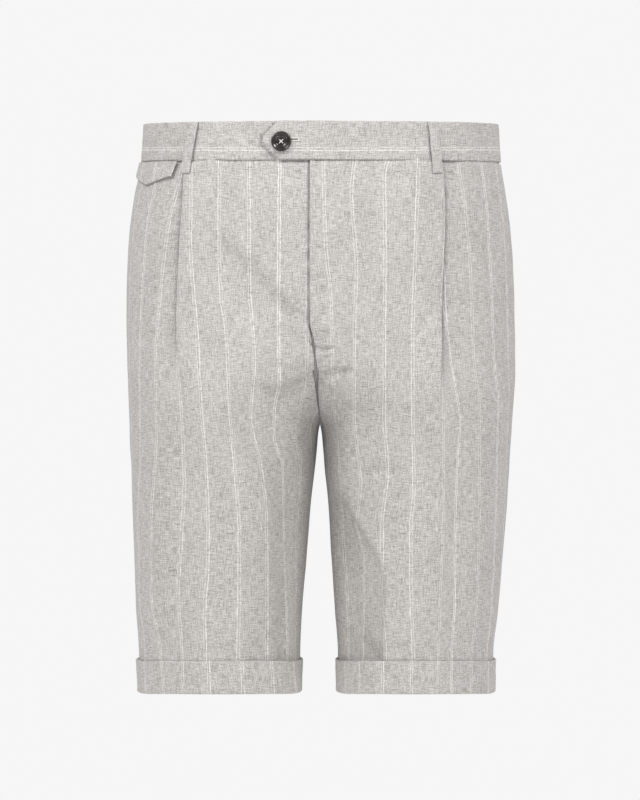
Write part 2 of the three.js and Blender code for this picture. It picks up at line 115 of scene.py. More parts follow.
def add_node(tree, kind, settings=None, **links):
    """A node of that kind. settings are its attributes, and links its inputs by name."""
    node = tree.nodes.new(kind)
    for name, value in (settings or {}).items():
        setattr(node, name, value)
    for name, value in links.items():
        key = int(name[1:]) if name[0] == "_" else name.replace("_", " ")
        if isinstance(value, bpy.types.NodeSocket):
            tree.links.new(value, node.inputs[key])
        else:
            node.inputs[key].default_value = value
    return node


def new_material(name):
    """An empty material with the one shader that every finish here is set on."""
    material = bpy.data.materials.new(name)
    material.use_nodes = True
    tree = material.node_tree
    tree.nodes.clear()
    output = tree.nodes.new("ShaderNodeOutputMaterial")
    surface = tree.nodes.new("ShaderNodeBsdfPrincipled")
    tree.links.new(surface.outputs["BSDF"], output.inputs["Surface"])
    return material, tree, surface


def add_piece(name, points, faces, material=None):
    """A smooth-shaded mesh object from points in millimetres."""
    mesh = bpy.data.meshes.new(name)
    mesh.from_pydata((np.array(points, dtype=float) / 1000).tolist(), [], faces)
    mesh.polygons.foreach_set("use_smooth", np.ones(len(mesh.polygons), dtype=bool))
    if material:
        mesh.materials.append(material)
    mesh.update()
    piece = bpy.data.objects.new(name, mesh)
    bpy.context.collection.objects.link(piece)
    return piece


print("white is", linear("ffffff"))

# %% [markdown]
# ## Studio light
#
# Cloth shows its creases when the light comes from above, because whatever faces down turns
# darker. So two large lamps stand high on both sides, and three weak ones low in front keep the
# insides of the legs from going black. One lamp beside the camera would be simpler, and it would
# flatten every crease. The world stands for white paper all round: it looks brighter to the
# camera than it lights the cloth, and it gives less light from below.

# %% World, lamps and floor
BACKGROUND = "f6f6f6"
AMBIENT_LOW, AMBIENT_HIGH = 0.1, 0.82  # the world's light from straight below and straight above
FLOOR_HEIGHT, FLOOR_HALF = -950, 3200  # in millimetres
HIGH_AIM, LOW_AIM = (0, 0, -0.05), (0, 0, -0.25)


def light_world():
    world = bpy.data.worlds.new("studio")
    bpy.context.scene.world = world
    world.use_nodes = True
    tree = world.node_tree
    tree.nodes.clear()
    seen = add_node(tree, "ShaderNodeBackground", Color=linear(BACKGROUND), Strength=1.0)
    direction = add_node(tree, "ShaderNodeTexCoord").outputs["Generated"]
    height = add_node(tree, "ShaderNodeSeparateXYZ", Vector=direction).outputs[2]
    strength = add_node(
        tree, "ShaderNodeMapRange", Value=height, From_Min=-1.0, From_Max=1.0, To_Min=AMBIENT_LOW,
        To_Max=AMBIENT_HIGH,
    ).outputs[0]
    lit = add_node(tree, "ShaderNodeBackground", Color=linear("ffffff"), Strength=strength)
    ray = add_node(tree, "ShaderNodeLightPath")
    mix = add_node(
        tree, "ShaderNodeMixShader", _0=ray.outputs["Is Camera Ray"], _1=lit.outputs[0], _2=seen.outputs[0]
    )
    add_node(tree, "ShaderNodeOutputWorld", Surface=mix.outputs[0])


def add_lamp(name, place, target, size, power):
    """A round soft lamp: where it stands, what it points at, its width in metres and its watts."""
    data = bpy.data.lights.new(name, "AREA")
    data.shape = "DISK"
    data.size = size
    data.energy = power
    lamp = bpy.data.objects.new(name, data)
    lamp.location = place
    direction = Vector(target) - Vector(place)
    lamp.rotation_euler = direction.to_track_quat("-Z", "Y").to_euler()
    bpy.context.collection.objects.link(lamp)


def lay_floor():
    material, tree, surface = new_material("pale_studio_floor")
    surface.inputs["Base Color"].default_value = linear("f0f0ef")
    surface.inputs["Roughness"].default_value = 0.9
    signs = ((-1, -1), (1, -1), (1, 1), (-1, 1))
    corners = [(x * FLOOR_HALF, y * FLOOR_HALF, FLOOR_HEIGHT) for x, y in signs]
    add_piece("floor", corners, [(0, 1, 2, 3)], material)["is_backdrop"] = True


light_world()
add_lamp("key_right", (1.2, -1.2, 1.5), HIGH_AIM, 0.7, 22.1)
add_lamp("key_left", (-1.35, -1.15, 1.35), HIGH_AIM, 0.8, 22)
add_lamp("low_left", (-0.8, -1.5, -0.15), LOW_AIM, 0.5, 1.9)
add_lamp("low_right", (0.8, -1.5, -0.15), LOW_AIM, 0.5, 1.6)
add_lamp("low_middle", (0, -1.6, -0.3), (0, 0, -0.28), 0.3, 1.5)
lay_floor()

# %% [markdown]
# ## The cloth: a mid-weight linen with white double pinstripes
#
# Linen is woven from flax, and flax yarn is uneven. Each thicker stretch, a slub, shows as a
# short darker or lighter dash along its thread, so the cloth looks like fine crossed dashes
# instead of a flat grey. The pinstripes are pairs of white warp threads. They're part of the
# weave, so they follow every fold, and so they must be drawn in the cloth's own flat
# coordinates and not from the side of the room.
#
# Each sheet carries those coordinates in a UV map called "cloth": u runs across the warp and v
# along it, both in real metres. A real thread is about 0.5 mm, less than a pixel here, so the
# dashes are drawn about 0.8 mm thick, as coarse as they need to be to show.
#
# Linen is nearly matt. Its IOR is that of cellulose, about 1.53, its roughness 0.85 or more,
# and a little sheen stands for the fine fibres that catch the light at the edges.

# %% Striped linen
STRIPE_REPEAT = 0.028  # in metres, as the other lengths of this cell
PAIR_HALF = 0.00118  # from the pair's middle to each white line
LINE_HALF = 0.0003  # half the width of a line
LINEN = {"dark": "86827e", "mid": "bab6b3", "light": "dad7d4", "slub": "7d7974", "stripe": "efedea"}
THREAD = 0.00078  # a dash's thickness
SLUB_LENGTH = 0.0075  # a dash's length
THICK_SLUB, LONG_SLUB = 0.0012, 0.013  # the few slubs that stand out from the rest
PATCH = (0.03, 0.05)  # where the dye took a little more or less


def striped_linen(name, striped=True):
    """Linen whose stripes and slubs lie in the "cloth" UV map."""
    material, tree, surface = new_material(name)
    flat = add_node(tree, "ShaderNodeUVMap", {"uv_map": "cloth"}).outputs[0]

    def dashes(length_u, length_v, detail, seed):
        """Noise stretched to dashes of that real size along u and v."""
        moved = add_node(
            tree, "ShaderNodeMapping", Vector=flat, Location=(seed, 3 * seed, 0),
            Scale=(1 / length_u, 1 / length_v, 1),
        ).outputs[0]
        return add_node(
            tree, "ShaderNodeTexNoise", {"noise_dimensions": "2D"}, Vector=moved, Scale=1.0, Detail=detail,
            Roughness=0.6,
        ).outputs["Fac"]

    def calc(a, b, operation="ADD"):
        """One step of arithmetic on two values."""
        return add_node(tree, "ShaderNodeMath", {"operation": operation}, _0=a, _1=b).outputs[0]

    def window(value, low, high, to_low=0.0, to_high=1.0):
        """A soft step from to_low to to_high, while the value goes from low to high."""
        return add_node(
            tree, "ShaderNodeMapRange", {"interpolation_type": "SMOOTHSTEP"}, Value=value, From_Min=low,
            From_Max=high, To_Min=to_low, To_Max=to_high,
        ).outputs[0]

    def blend(share, below, above):
        """One colour laid over another, as thickly as the share says."""
        mix = add_node(tree, "ShaderNodeMix", {"data_type": "RGBA"}, _0=share, _6=below, _7=above)
        return mix.outputs[2]

    weft = dashes(SLUB_LENGTH, THREAD, 1.0, 1.7)
    warp = dashes(THREAD, SLUB_LENGTH * 1.3, 1.0, 5.2)
    grain = dashes(THREAD, THREAD, 0.5, 9.1)
    patch = dashes(*PATCH, 2.0, 13.3)
    crossed = calc(calc(weft, warp), calc(grain, 1.3, "MULTIPLY"))
    shade = add_node(tree, "ShaderNodeMapRange", Value=crossed, From_Min=1.03, From_Max=2.27).outputs[0]
    shade = calc(shade, calc(calc(patch, 0.5, "SUBTRACT"), 0.2, "MULTIPLY"))
    ramp = add_node(tree, "ShaderNodeValToRGB", Fac=shade)
    ramp.color_ramp.elements[0].color = linear(LINEN["dark"])
    ramp.color_ramp.elements[1].color = linear(LINEN["light"])
    ramp.color_ramp.elements.new(0.5).color = linear(LINEN["mid"])
    weft_slubs = window(dashes(0.011, THICK_SLUB, 1.0, 41.0), 0.62, 0.74)
    warp_slubs = window(dashes(THICK_SLUB, LONG_SLUB, 1.0, 47.0), 0.64, 0.76)
    slubs = calc(calc(weft_slubs, warp_slubs, "MAXIMUM"), 0.42, "MULTIPLY")
    colour = blend(slubs, ramp.outputs[0], linear(LINEN["slub"]))

    if striped:
        across = add_node(tree, "ShaderNodeSeparateXYZ", Vector=flat).outputs[0]
        wobble = calc(calc(dashes(0.02, 0.012, 1.0, 21.0), 0.5, "SUBTRACT"), 0.0009, "MULTIPLY")
        shifted = calc(calc(across, wobble), STRIPE_REPEAT * 0.5)
        number = calc(calc(shifted, STRIPE_REPEAT, "DIVIDE"), 0.0, "FLOOR")
        middle = calc(shifted, calc(calc(number, 0.5), STRIPE_REPEAT, "MULTIPLY"), "SUBTRACT")
        off_pair = calc(middle, 0.0, "ABSOLUTE")
        off_line = calc(calc(off_pair, PAIR_HALF, "SUBTRACT"), 0.0, "ABSOLUTE")
        line = window(off_line, LINE_HALF * 0.6, LINE_HALF * 1.8, 1.0, 0.0)
        broken = window(dashes(0.0035, 0.003, 2.0, 31.0), 0.3, 0.6, 0.3, 0.9)
        # each line of each pair is a little stronger or weaker than its neighbours
        which = calc(calc(number, 2.3, "MULTIPLY"), calc(middle, 0.0, "GREATER_THAN"))
        chance = add_node(tree, "ShaderNodeTexWhiteNoise", {"noise_dimensions": "1D"}, W=which)
        strength = window(chance.outputs["Value"], 0.0, 1.0, 0.55, 1.0)
        white = calc(calc(line, broken, "MULTIPLY"), strength, "MULTIPLY")
        colour = blend(white, colour, linear(LINEN["stripe"]))

    bump = add_node(tree, "ShaderNodeBump", Height=crossed, Strength=0.35, Distance=0.0004)
    tree.links.new(colour, surface.inputs["Base Color"])
    tree.links.new(bump.outputs[0], surface.inputs["Normal"])
    surface.inputs["Roughness"].default_value = 0.88
    surface.inputs["IOR"].default_value = 1.53
    surface.inputs["Specular IOR Level"].default_value = 0.25
    surface.inputs["Sheen Weight"].default_value = 0.12
    surface.inputs["Sheen Roughness"].default_value = 0.5
    return material


linen = striped_linen("striped_linen")
plain_linen = striped_linen("plain_linen", striped=False)
print("materials:", linen.name, plain_linen.name)

# %% [markdown]
# ## The figure inside: rounded rings
#
# Each leg of the shorts is a stack of level rings, wider at the hip and narrower at the hem.
# A ring is a superellipse: an ellipse with an exponent a little over 2, which is boxier, as a
# body is. Above the crotch the two legs' rings run into each other, and each is cut where it
# meets the other. That gives the curve of the rise by itself, as it does on a real body.
#
# The tables hold real sizes in millimetres. Between their rows a smooth curve is drawn that
# never overshoots, so a table stays short.

# %% Smooth curves through short tables


def curve_through(points):
    """A smooth curve through (x, y) points that doesn't overshoot them, for arrays of x."""
    xs, ys = np.array(sorted(points), dtype=float).T
    rise = np.diff(ys) / np.diff(xs)
    slopes = np.concatenate([[rise[0]], np.zeros(len(xs) - 2), [rise[-1]]])
    for i in range(1, len(xs) - 1):
        before, after = rise[i - 1], rise[i]
        if before * after > 0:
            slopes[i] = 2 * before * after / (before + after)

    def value(x):
        x = np.clip(np.asarray(x, dtype=float), xs[0], xs[-1])
        i = np.clip(np.searchsorted(xs, x, side="right") - 1, 0, len(xs) - 2)
        w = xs[i + 1] - xs[i]
        t = (x - xs[i]) / w
        start = (2 * t**3 - 3 * t**2 + 1) * ys[i] + (t**3 - 2 * t**2 + t) * w * slopes[i]
        return start + (3 * t**2 - 2 * t**3) * ys[i + 1] + (t**3 - t**2) * w * slopes[i + 1]

    return value


def table_curves(columns, rows):
    """One curve over the first column for each of the others."""
    return {name: curve_through([(row[0], row[i + 1]) for row in rows]) for i, name in enumerate(columns)}


def smooth(t):
    t = np.clip(t, 0.0, 1.0)
    return t * t * (3 - 2 * t)


# %% Driving sizes, in millimetres
RIGHT, LEFT = -1, 1  # the wearer's sides, as signs of x
WORD = {RIGHT: "right", LEFT: "left"}
CLOTH = 1.0
SEAM_GAP = 0.3  # between a panel and the waistband or the turn-up's lower fold
EDGE_GAP = 0.06  # between two sewn edges: so little that no light comes through
LAP_GAP = 0.4  # between two layers that lie on each other
ROUNDNESS = 2.2  # the rings' exponent
WAISTBAND_HEIGHT = 35
WAISTBAND_CLOTH = 2.2
WAIST_TOP = WAISTBAND_HEIGHT / 2
WAIST_SEAM = -WAISTBAND_HEIGHT / 2
FRONT_DIP = 3.6  # how much lower the waist is in front than at the sides
BACK_RISE = 7  # and how much higher it is at the back
TILT_ENDS = -200  # below this height every row is level
HEM = -501
CUFF_HEIGHT = 30
CUFF_CLOTH = 1.6
CROTCH = -259
FLY_END = -183
FLY_LAP = 8  # how far the right front goes under the left one
FLY_FADE = 12  # the height over which the fly runs out at its lower end
SIDE_SEAM_BACK = 6  # how far behind the widest place the side seam lies
TAB_TIP, TAB_CORNER, TAB_TIP_HEIGHT = 51, 36.8, 6  # the tab's tip, its corners and the tip's blunt end
TAB_LIFT_FROM, TAB_LIFT_FULL = 16, 2  # between these places the left end rises over the right end
# the cloth moves aside with the front seam from one height to the other, this near the middle
DRIFT_FROM, DRIFT_FULL, DRIFT_WIDTH = -110, -180, 45

SECTION = table_curves(
    ["outer_right", "outer_left", "inner_right", "inner_left", "front", "back"],
    [
        [18, 162.5, 164.3, -162.5, -164.3, 110, 113],
        [-18, 164.6, 166.4, -164.6, -166.4, 113, 118],
        [-48, 170.4, 170.8, -170.4, -170.8, 117.5, 125],
        [-78, 174.8, 174.8, -174.8, -174.8, 120, 132],
        [-110, 177, 177.2, -175.5, -176, 121.5, 138.5],
        [-144, 177.8, 178.6, -166, -167, 122, 142],
        [-168, 177.7, 179, -138, -139, 121.5, 141],
        [-190, 177.3, 179.2, -99, -100, 120, 137],
        [-212, 176.8, 179.2, -58, -59, 118.5, 130.5],
        [-228, 176.2, 178.5, -32, -32.5, 116.8, 125],
        [-240, 175.7, 177.7, -15.5, -15.5, 115.2, 121],
        [-250, 175.4, 176.9, -5.2, -5.2, 113.7, 118],
        [-256, 175.1, 176.4, -1.3, -1.3, 112.7, 116.2],
        [-259, 175, 176.2, 0.2, 0.2, 112.2, 115.3],
        [-265, 174.8, 175.9, 1.6, 1.6, 111.2, 113.7],
        [-272, 174.6, 175.4, 2.5, 2.5, 110, 112],
        [-300, 173.2, 173.8, 4.8, 4.6, 106.3, 107],
        [-330, 172.6, 171.8, 8.2, 7.4, 102.6, 103],
        [-387, 170.2, 167.2, 12.9, 11, 96, 97],
        [-430, 168.8, 163.6, 16.4, 13.8, 90.5, 93],
        [-468, 166.6, 159.6, 18.2, 16.4, 86, 90],
        [-501, 166, 159.4, 18.4, 16.6, 84, 89],
    ],
)
PLEAT = table_curves(
    ["at_right", "at_left", "depth", "turn", "radius"],
    [
        [-18, 122, 110.5, 18, 180, 0.7],
        [-60, 124.5, 112.5, 15, 180, 0.7],
        [-100, 127, 111.5, 11.5, 180, 0.7],
        [-140, 128.5, 109.5, 7.5, 180, 0.7],
        [-165, 129, 109, 4.5, 178, 0.7],
        [-182, 128.5, 109, 2.6, 140, 0.9],
        [-200, 126.5, 109, 2, 75, 1.6],
        [-225, 122.5, 108.8, 2, 30, 4],
        [-260, 119, 109, 2, 16, 8],
        [-330, 117, 109.4, 2, 12, 12],
        [-420, 119.5, 106.5, 2, 10, 12],
        [-501, 122.5, 103.5, 2, 4, 12],
    ],
)
PLEAT_RAMP = 26  # the width over which the cloth rises to the fold, and falls again behind it
PLEAT_PROUD = 0.4  # the share of the fold's thickness that stands out from the ring
PANEL_TOP = WAIST_SEAM - SEAM_GAP
PANEL_BOTTOM = HEM + CUFF_CLOTH + SEAM_GAP
front_seam = curve_through(
    [(18, -9), (-100, -9), (-165, -8.6), (-183, -6.4), (-206, -4.2), (-236, -3), (-253, -0.8), (-259, 0)]
)


def front_drift(z):
    """How far the cloth near the front seam is moved aside at height z."""
    return front_seam(z) * smooth((DRIFT_FROM - z) / (DRIFT_FROM - DRIFT_FULL))


print("panels from", PANEL_TOP, "down to", round(PANEL_BOTTOM, 1), "mm")

# %% Rings: from a way round the body to a place in space
RING_STEPS = 720
ANGLE_STEP, LEVEL_STEP = 0.01, 0.5  # how far apart the neighbours are that say which way is out


def signed_power(value, exponent):
    """A power that keeps the sign of what is raised to it."""
    return np.sign(value) * np.abs(value) ** exponent


def ring_point(side, z, angle):
    """A ring's point by angle: 0 is the inseam, half a turn the side, round by the front."""
    outer, inner = SECTION["outer_" + WORD[side]](z), SECTION["inner_" + WORD[side]](z)
    centre, half = (outer + inner) / 2, (outer - inner) / 2
    out = signed_power(np.sin(angle), 2 / ROUNDNESS)
    y = np.where(out > 0, -SECTION["front"](z) * out, -SECTION["back"](z) * out)
    x = side * (centre - half * signed_power(np.cos(angle), 2 / ROUNDNESS))
    drawn = np.where(out > 0, front_drift(z) * out * np.exp(-((x / DRIFT_WIDTH) ** 2)), 0.0)
    front_tilt = FRONT_DIP * y / SECTION["front"](WAIST_SEAM)
    back_tilt = BACK_RISE * y / SECTION["back"](WAIST_SEAM)
    tilt = np.where(y < 0, front_tilt, back_tilt) * smooth((z - TILT_ENDS) / (WAIST_SEAM - TILT_ENDS))
    return np.stack(np.broadcast_arrays(x + drawn, y, z + tilt), axis=-1)


RING_ANGLES = np.linspace(0, 2 * np.pi, RING_STEPS + 1)
_rings = {}


def ring_ways(side, z):
    """The way round one ring to each of RING_ANGLES."""
    key = (side, float(z))
    if key not in _rings:
        points = ring_point(side, float(z), RING_ANGLES)
        _rings[key] = np.concatenate([[0], np.cumsum(np.linalg.norm(np.diff(points, axis=0), axis=1))])
    return _rings[key]


def on_each_level(side, z, value, from_ways):
    """Turns ways into angles, or angles into ways, on the ring of each height."""
    z, value = np.broadcast_arrays(np.asarray(z, dtype=float), np.asarray(value, dtype=float))
    found = np.empty(value.shape)
    for level in np.unique(z):
        here = z == level
        ways = ring_ways(side, level)
        known, wanted = (ways, RING_ANGLES) if from_ways else (RING_ANGLES, ways)
        found[here] = np.interp(value[here], known, wanted)
    return found


def angle_at(side, z, way):
    return on_each_level(side, z, way, True)


def way_at(side, z, angle):
    return on_each_level(side, z, angle, False)


def way_at_x(side, z, x, face="front"):
    """The way round the ring to the place x on its front or its back."""
    outer, inner = SECTION["outer_" + WORD[side]](z), SECTION["inner_" + WORD[side]](z)
    share = np.clip(((outer + inner) / 2 - side * x) / ((outer - inner) / 2), -1, 1)
    angle = np.arccos(signed_power(share, ROUNDNESS / 2))
    return way_at(side, z, angle if face == "front" else 2 * np.pi - angle)


def place(side, z, way, out):
    """Where the cloth at that way round the ring and that far out from it is."""
    z, way, out = np.broadcast_arrays(z, way, out)
    angle = angle_at(side, z, way)
    along = ring_point(side, z, angle + ANGLE_STEP) - ring_point(side, z, angle - ANGLE_STEP)
    up = ring_point(side, z + LEVEL_STEP, angle) - ring_point(side, z - LEVEL_STEP, angle)
    normal = side * np.cross(along, up)
    normal /= np.linalg.norm(normal, axis=-1, keepdims=True)
    return ring_point(side, z, angle) + normal * out[..., None]


waist = sum(float(way_at_x(s, WAIST_TOP, 0, "back") - way_at_x(s, WAIST_TOP, 0)) for s in (RIGHT, LEFT))
print("waist", round(waist), "mm round, right hem", round(ring_ways(RIGHT, HEM)[-1]), "mm round")

# %% [markdown]
# ## Creases, placed one by one
#
# A worn garment is never smooth: cloth hangs from where it is held and creases where it has
# to bend. Randomly crumpled cloth looks wrong at once, because real creases have causes.
# These run from the fly to the hip, fan out from the crotch, and fall down the inside of each
# leg where there is cloth to spare.
#
# A crease is a line on the cloth, a depth, and a half width on each side of the line. With
# unlike widths it gets a sharp lip and a soft slope, as a real fold has. Its depth dies away
# at both ends. A negative depth is a ridge.

# %% The crease tables
# Each row: the line's (x, z) places, the depth, and the half widths left and right of its run
FRONT_CREASES = [
    # across the wearer's right hip
    ([(-106, -82), (-90, -95), (-56, -127), (-24, -171), (-11, -192)], 5.0, 7, 26),
    ([(-42, -134), (-35, -145), (-26, -154), (-14, -160), (-4, -163)], 2.2, 2.6, 6),
    ([(-84, -102), (-58, -128), (-38, -158)], -1.0, 8, 8),
    ([(-42, -168), (-17, -196)], 2.2, 7, 12),
    ([(-33, -154), (-23, -161)], 1.3, 3, 4),
    # under the waistband, both sides
    ([(24, -22), (18, -48), (7, -78)], 1.6, 6, 10),
    ([(36, -22), (30, -60)], -0.8, 8, 8),
    ([(-70, -20), (-76, -64)], 1.0, 9, 12),
    ([(66, -20), (76, -90)], 0.8, 12, 14),
    # the end of the fly and the fan from the crotch
    ([(-12, -180), (-6, -187), (-2, -190), (5, -190.5), (16, -188)], 2.8, 1.6, 2.6),
    ([(-3, -205), (-14, -221), (-30, -230), (-54, -228)], 2.6, 11, 5),
    ([(0, -207), (-5, -212.5), (-11, -218.5), (-19, -225)], 3.2, 3.2, 1.6),
    ([(-8, -218), (-28, -236), (-50, -246)], 2.4, 5, 10),
    ([(0, -216), (6, -212), (13, -209), (22, -208.5), (34, -211)], 3.2, 1.6, 5.5),
    ([(-3, -210), (3, -222), (12, -236)], 1.6, 2.0, 3.0),
    ([(2, -200), (12, -196)], 1.2, 3, 4),
    ([(3, -222), (20, -240), (48, -254)], 2.4, 4.5, 10),
    ([(5, -236), (16, -249), (28, -253)], 1.6, 2.6, 5),
    ([(-30, -234), (-68, -224)], 1.6, 10, 6),
    ([(-46, -203), (-20, -213)], 1.2, 5, 3),
    # down the wearer's right inner leg
    ([(-24, -256), (-23, -300), (-23, -340), (-24, -400), (-26, -450), (-26, -512)], 9.0, 9, 25),
    ([(-50, -290), (-47, -350), (-42, -420), (-40, -520)], -1.8, 9, 9),
    # down the wearer's left inner leg, which hangs over itself
    ([(2, -306), (9, -340), (17, -374), (23, -402), (25, -440), (24, -512)], 10.0, 29, 12),
    ([(8, -308), (22, -346), (40, -371), (50, -392), (51, -430), (48, -520)], 5.4, 5, 32),
    ([(14, -318), (24, -338), (40, -362), (58, -382), (61, -420), (56, -490)], -2.4, 7, 7),
    ([(20, -452), (38, -462), (50, -476)], 1.8, 5, 7),
    # the full, sharply turned edge of each leg under the crotch
    ([(8, -246), (11, -290), (14, -344)], -1.2, 16, 5),
    ([(-8, -246), (-11, -290), (-14, -344)], -1.2, 5, 16),
    # level ones above the knee
    ([(22, -297), (46, -301), (80, -299)], 1.3, 4, 5),
    ([(-176, -299), (-150, -303)], 1.2, 4, 5),
    ([(-164, -352), (-140, -358), (-118, -352)], 0.8, 6, 6),
    ([(-60, -402), (-86, -408)], 0.7, 4, 6),
    ([(84, -344), (110, -350)], 0.7, 4, 6),
    # beside the pressed creases
    ([(-134, -216), (-142, -290), (-140, -380)], 1.4, 9, 14),
    ([(122, -214), (132, -258), (128, -300), (126, -380)], 1.6, 8, 12),
    ([(96, -230), (98, -330)], 0.8, 9, 10),
    ([(-96, -180), (-92, -250)], 0.9, 9, 12),
    ([(150, -60), (160, -130), (162, -200)], 1.2, 9, 12),
    ([(-150, -70), (-160, -150), (-164, -230)], 1.2, 9, 12),
    # small ones above the turn-ups
    ([(-92, -436), (-88, -480)], 1.1, 5, 7),
    ([(-60, -446), (-58, -480)], 1.0, 5, 6),
    ([(-134, -440), (-128, -480)], 0.9, 5, 6),
    ([(94, -440), (90, -480)], 1.1, 5, 7),
    ([(128, -446), (126, -480)], 1.0, 5, 6),
    ([(70, -450), (74, -480)], 0.8, 5, 6),
]
BACK_CREASES = [
    ([(-16, -216), (-62, -260), (-112, -282)], 3.4, 10, 18),
    ([(18, -220), (70, -266), (118, -284)], 3.2, 18, 10),
    ([(-22, -284), (-68, -314), (-96, -318)], 2.4, 8, 14),
    ([(20, -290), (62, -318)], 2.4, 14, 8),
    ([(-12, -240), (-30, -262)], 1.6, 7, 9),
    ([(12, -246), (32, -268)], 1.5, 9, 7),
    ([(-100, -318), (-92, -400), (-94, -460)], 2.4, 13, 18),
    ([(84, -326), (94, -396), (90, -456)], 2.4, 18, 13),
    ([(-140, -236), (-116, -300)], 1.4, 10, 14),
    ([(142, -240), (120, -304)], 1.3, 14, 10),
    ([(-60, -24), (-66, -70)], 1.0, 10, 12),
    ([(58, -24), (66, -76)], 1.0, 12, 10),
    ([(-40, -340), (-36, -430), (-38, -520)], 2.0, 10, 14),
    ([(38, -346), (34, -436), (34, -520)], 2.0, 14, 10),
]


def crease_depth(crease, x, z):
    """How deep one crease is at places (x, z), as arrays."""
    line, depth, left, right = crease
    points = np.array(line, dtype=float)
    lengths = np.linalg.norm(np.diff(points, axis=0), axis=1)
    starts = np.concatenate([[0], np.cumsum(lengths)])
    nearest = np.full(np.shape(x), np.inf)
    aside = np.zeros(np.shape(x))
    travelled = np.zeros(np.shape(x))
    for i, length in enumerate(lengths):
        dx, dz = (points[i + 1] - points[i]) / length
        along = np.clip((x - points[i, 0]) * dx + (z - points[i, 1]) * dz, 0, length)
        gap = np.hypot(x - points[i, 0] - along * dx, z - points[i, 1] - along * dz)
        to_left = (x - points[i, 0]) * dz - (z - points[i, 1]) * dx < 0
        closer = gap < nearest
        nearest = np.where(closer, gap, nearest)
        aside = np.where(closer, to_left, aside)
        travelled = np.where(closer, starts[i] + along, travelled)
    share = travelled / starts[-1]
    ends = smooth(share / 0.25) * smooth((1 - share) / 0.25)
    width = np.where(aside > 0, left, right)
    return depth * ends * np.exp(-((nearest / width) ** 2))


def unevenness(x, z, y):
    """The small waviness of linen that has been worn, from smooth noise."""
    flat = np.stack([x.ravel(), z.ravel(), y.ravel()], axis=1)
    values = [
        0.55 * noise.noise(Vector((a / 34, b / 62, c / 50)))
        + 0.22 * noise.noise(Vector((a / 11, b / 19 + 7, c / 30)))
        for a, b, c in flat
    ]
    return np.array(values).reshape(x.shape)


print(len(FRONT_CREASES), "front creases,", len(BACK_CREASES), "back creases")

# %% [markdown]
# ## A row of a front panel, with its pleat
#
# A pleat is spare cloth folded under and caught in the waist seam. Seen from above, the cloth
# runs to the fold's edge, doubles back underneath and comes out again. Painting a dark line
# would be quicker, but the fold's shadow, and the stripe that slides out from under it, would
# both be missing. So each row is a path through the middle of the cloth, in two numbers: the
# way round the body, and the distance out from it.
#
# Down the leg the fold opens and only the pressed crease is left: the same path with small
# turns and wide bends, so that the mesh keeps one layout from the waist to the hem.

# %% Paths
EDGE_STEPS, FRONT_STEPS, SIDE_STEPS, RAMP_STEPS, BEND_STEPS, UNDER_STEPS = 24, 76, 36, 9, 6, 5
BACK_STEPS = 118
BEHIND_EDGE = (-2.0, -0.4, 0.6, 1.3, 2.0, 2.7, 3.4, 4.2, 5.2, 6.8)  # finer columns at the pleat's edge
FLY_REACH = 8  # the columns are closer together this near the front edge


def pleat_path(side, z):
    """The pleat's (way, out) points, and which of them is the first behind the fold's edge."""
    edge = way_at_x(side, z, side * PLEAT["at_" + WORD[side]](z))
    turn = math.radians(float(PLEAT["turn"](z)))
    radius, under = float(PLEAT["radius"](z)), float(PLEAT["depth"](z))
    drop = 2 * radius * (1 - math.cos(turn)) + under * math.sin(turn)
    top = PLEAT_PROUD * drop
    start = edge - radius * math.sin(min(turn, math.pi / 2)) - CLOTH / 2
    foot = start - under * max(0.0, -math.cos(turn)) - 4
    climb = [i / RAMP_STEPS for i in range(RAMP_STEPS)]
    path = [(foot - PLEAT_RAMP * (1 - t), top * smooth(t)) for t in climb]
    path += [(foot, top), ((foot + start) / 2, top), (start, top)]
    at = np.array([start, top])
    heading = 0.0
    for direction in (1, 0, -1):
        for _ in range(BEND_STEPS if direction else UNDER_STEPS):
            bend = direction * turn / BEND_STEPS / 2
            heading += bend
            length = 2 * radius * math.sin(turn / BEND_STEPS / 2) if direction else under / UNDER_STEPS
            at = at + length * np.array([math.cos(heading), -math.sin(heading)])
            heading += bend
            path.append(tuple(at))
    behind = len(path) - BEND_STEPS
    for i, step in enumerate(BEHIND_EDGE):
        clear = max(edge + step, at[0] + 0.35 * (i + 1))
        path.append((clear, at[1]))
    for i in range(1, RAMP_STEPS + 1):
        path.append((clear + PLEAT_RAMP * i / RAMP_STEPS, at[1] * (1 - smooth(i / RAMP_STEPS))))
    return np.array(path), behind


def seam_dip(distance, depth=0.7, reach=1.8, power=2):
    """How far a sewn edge is drawn in, by the distance from the seam. A high power turns sharply."""
    return -depth * np.exp(-(np.abs(distance / reach) ** power))


FLY_PROUD, FLY_GROOVE = 1.2, 5.2  # the fly's edge stands out, and the front under it gives way
# the hollow behind each pleat's edge: its depth and width, then the depth and place of its sharpest part
VALLEY = {RIGHT: (3.0, 8.0, 2.6, 3.0), LEFT: (0.8, 5.0, 2.6, 1.8)}
VALLEY_END = {RIGHT: -222, LEFT: -250}  # the height where it has run out
VALLEY_FADE = 90  # the height over which it does so
VALLEY_AT_SEAM = 0.35  # its share that is left at the waist seam, where the cloth is held flat
SHARP_WIDTH = 1.7
FLY_SPREAD, FLY_EDGE_FALL = 14, 5  # the widths over which the fly's cloth and its proud edge settle
GROOVE_FROM, GROOVE_FADE, GROOVE_DEPTH = -257, 14, 5.5  # the seam between the fronts, above the crotch


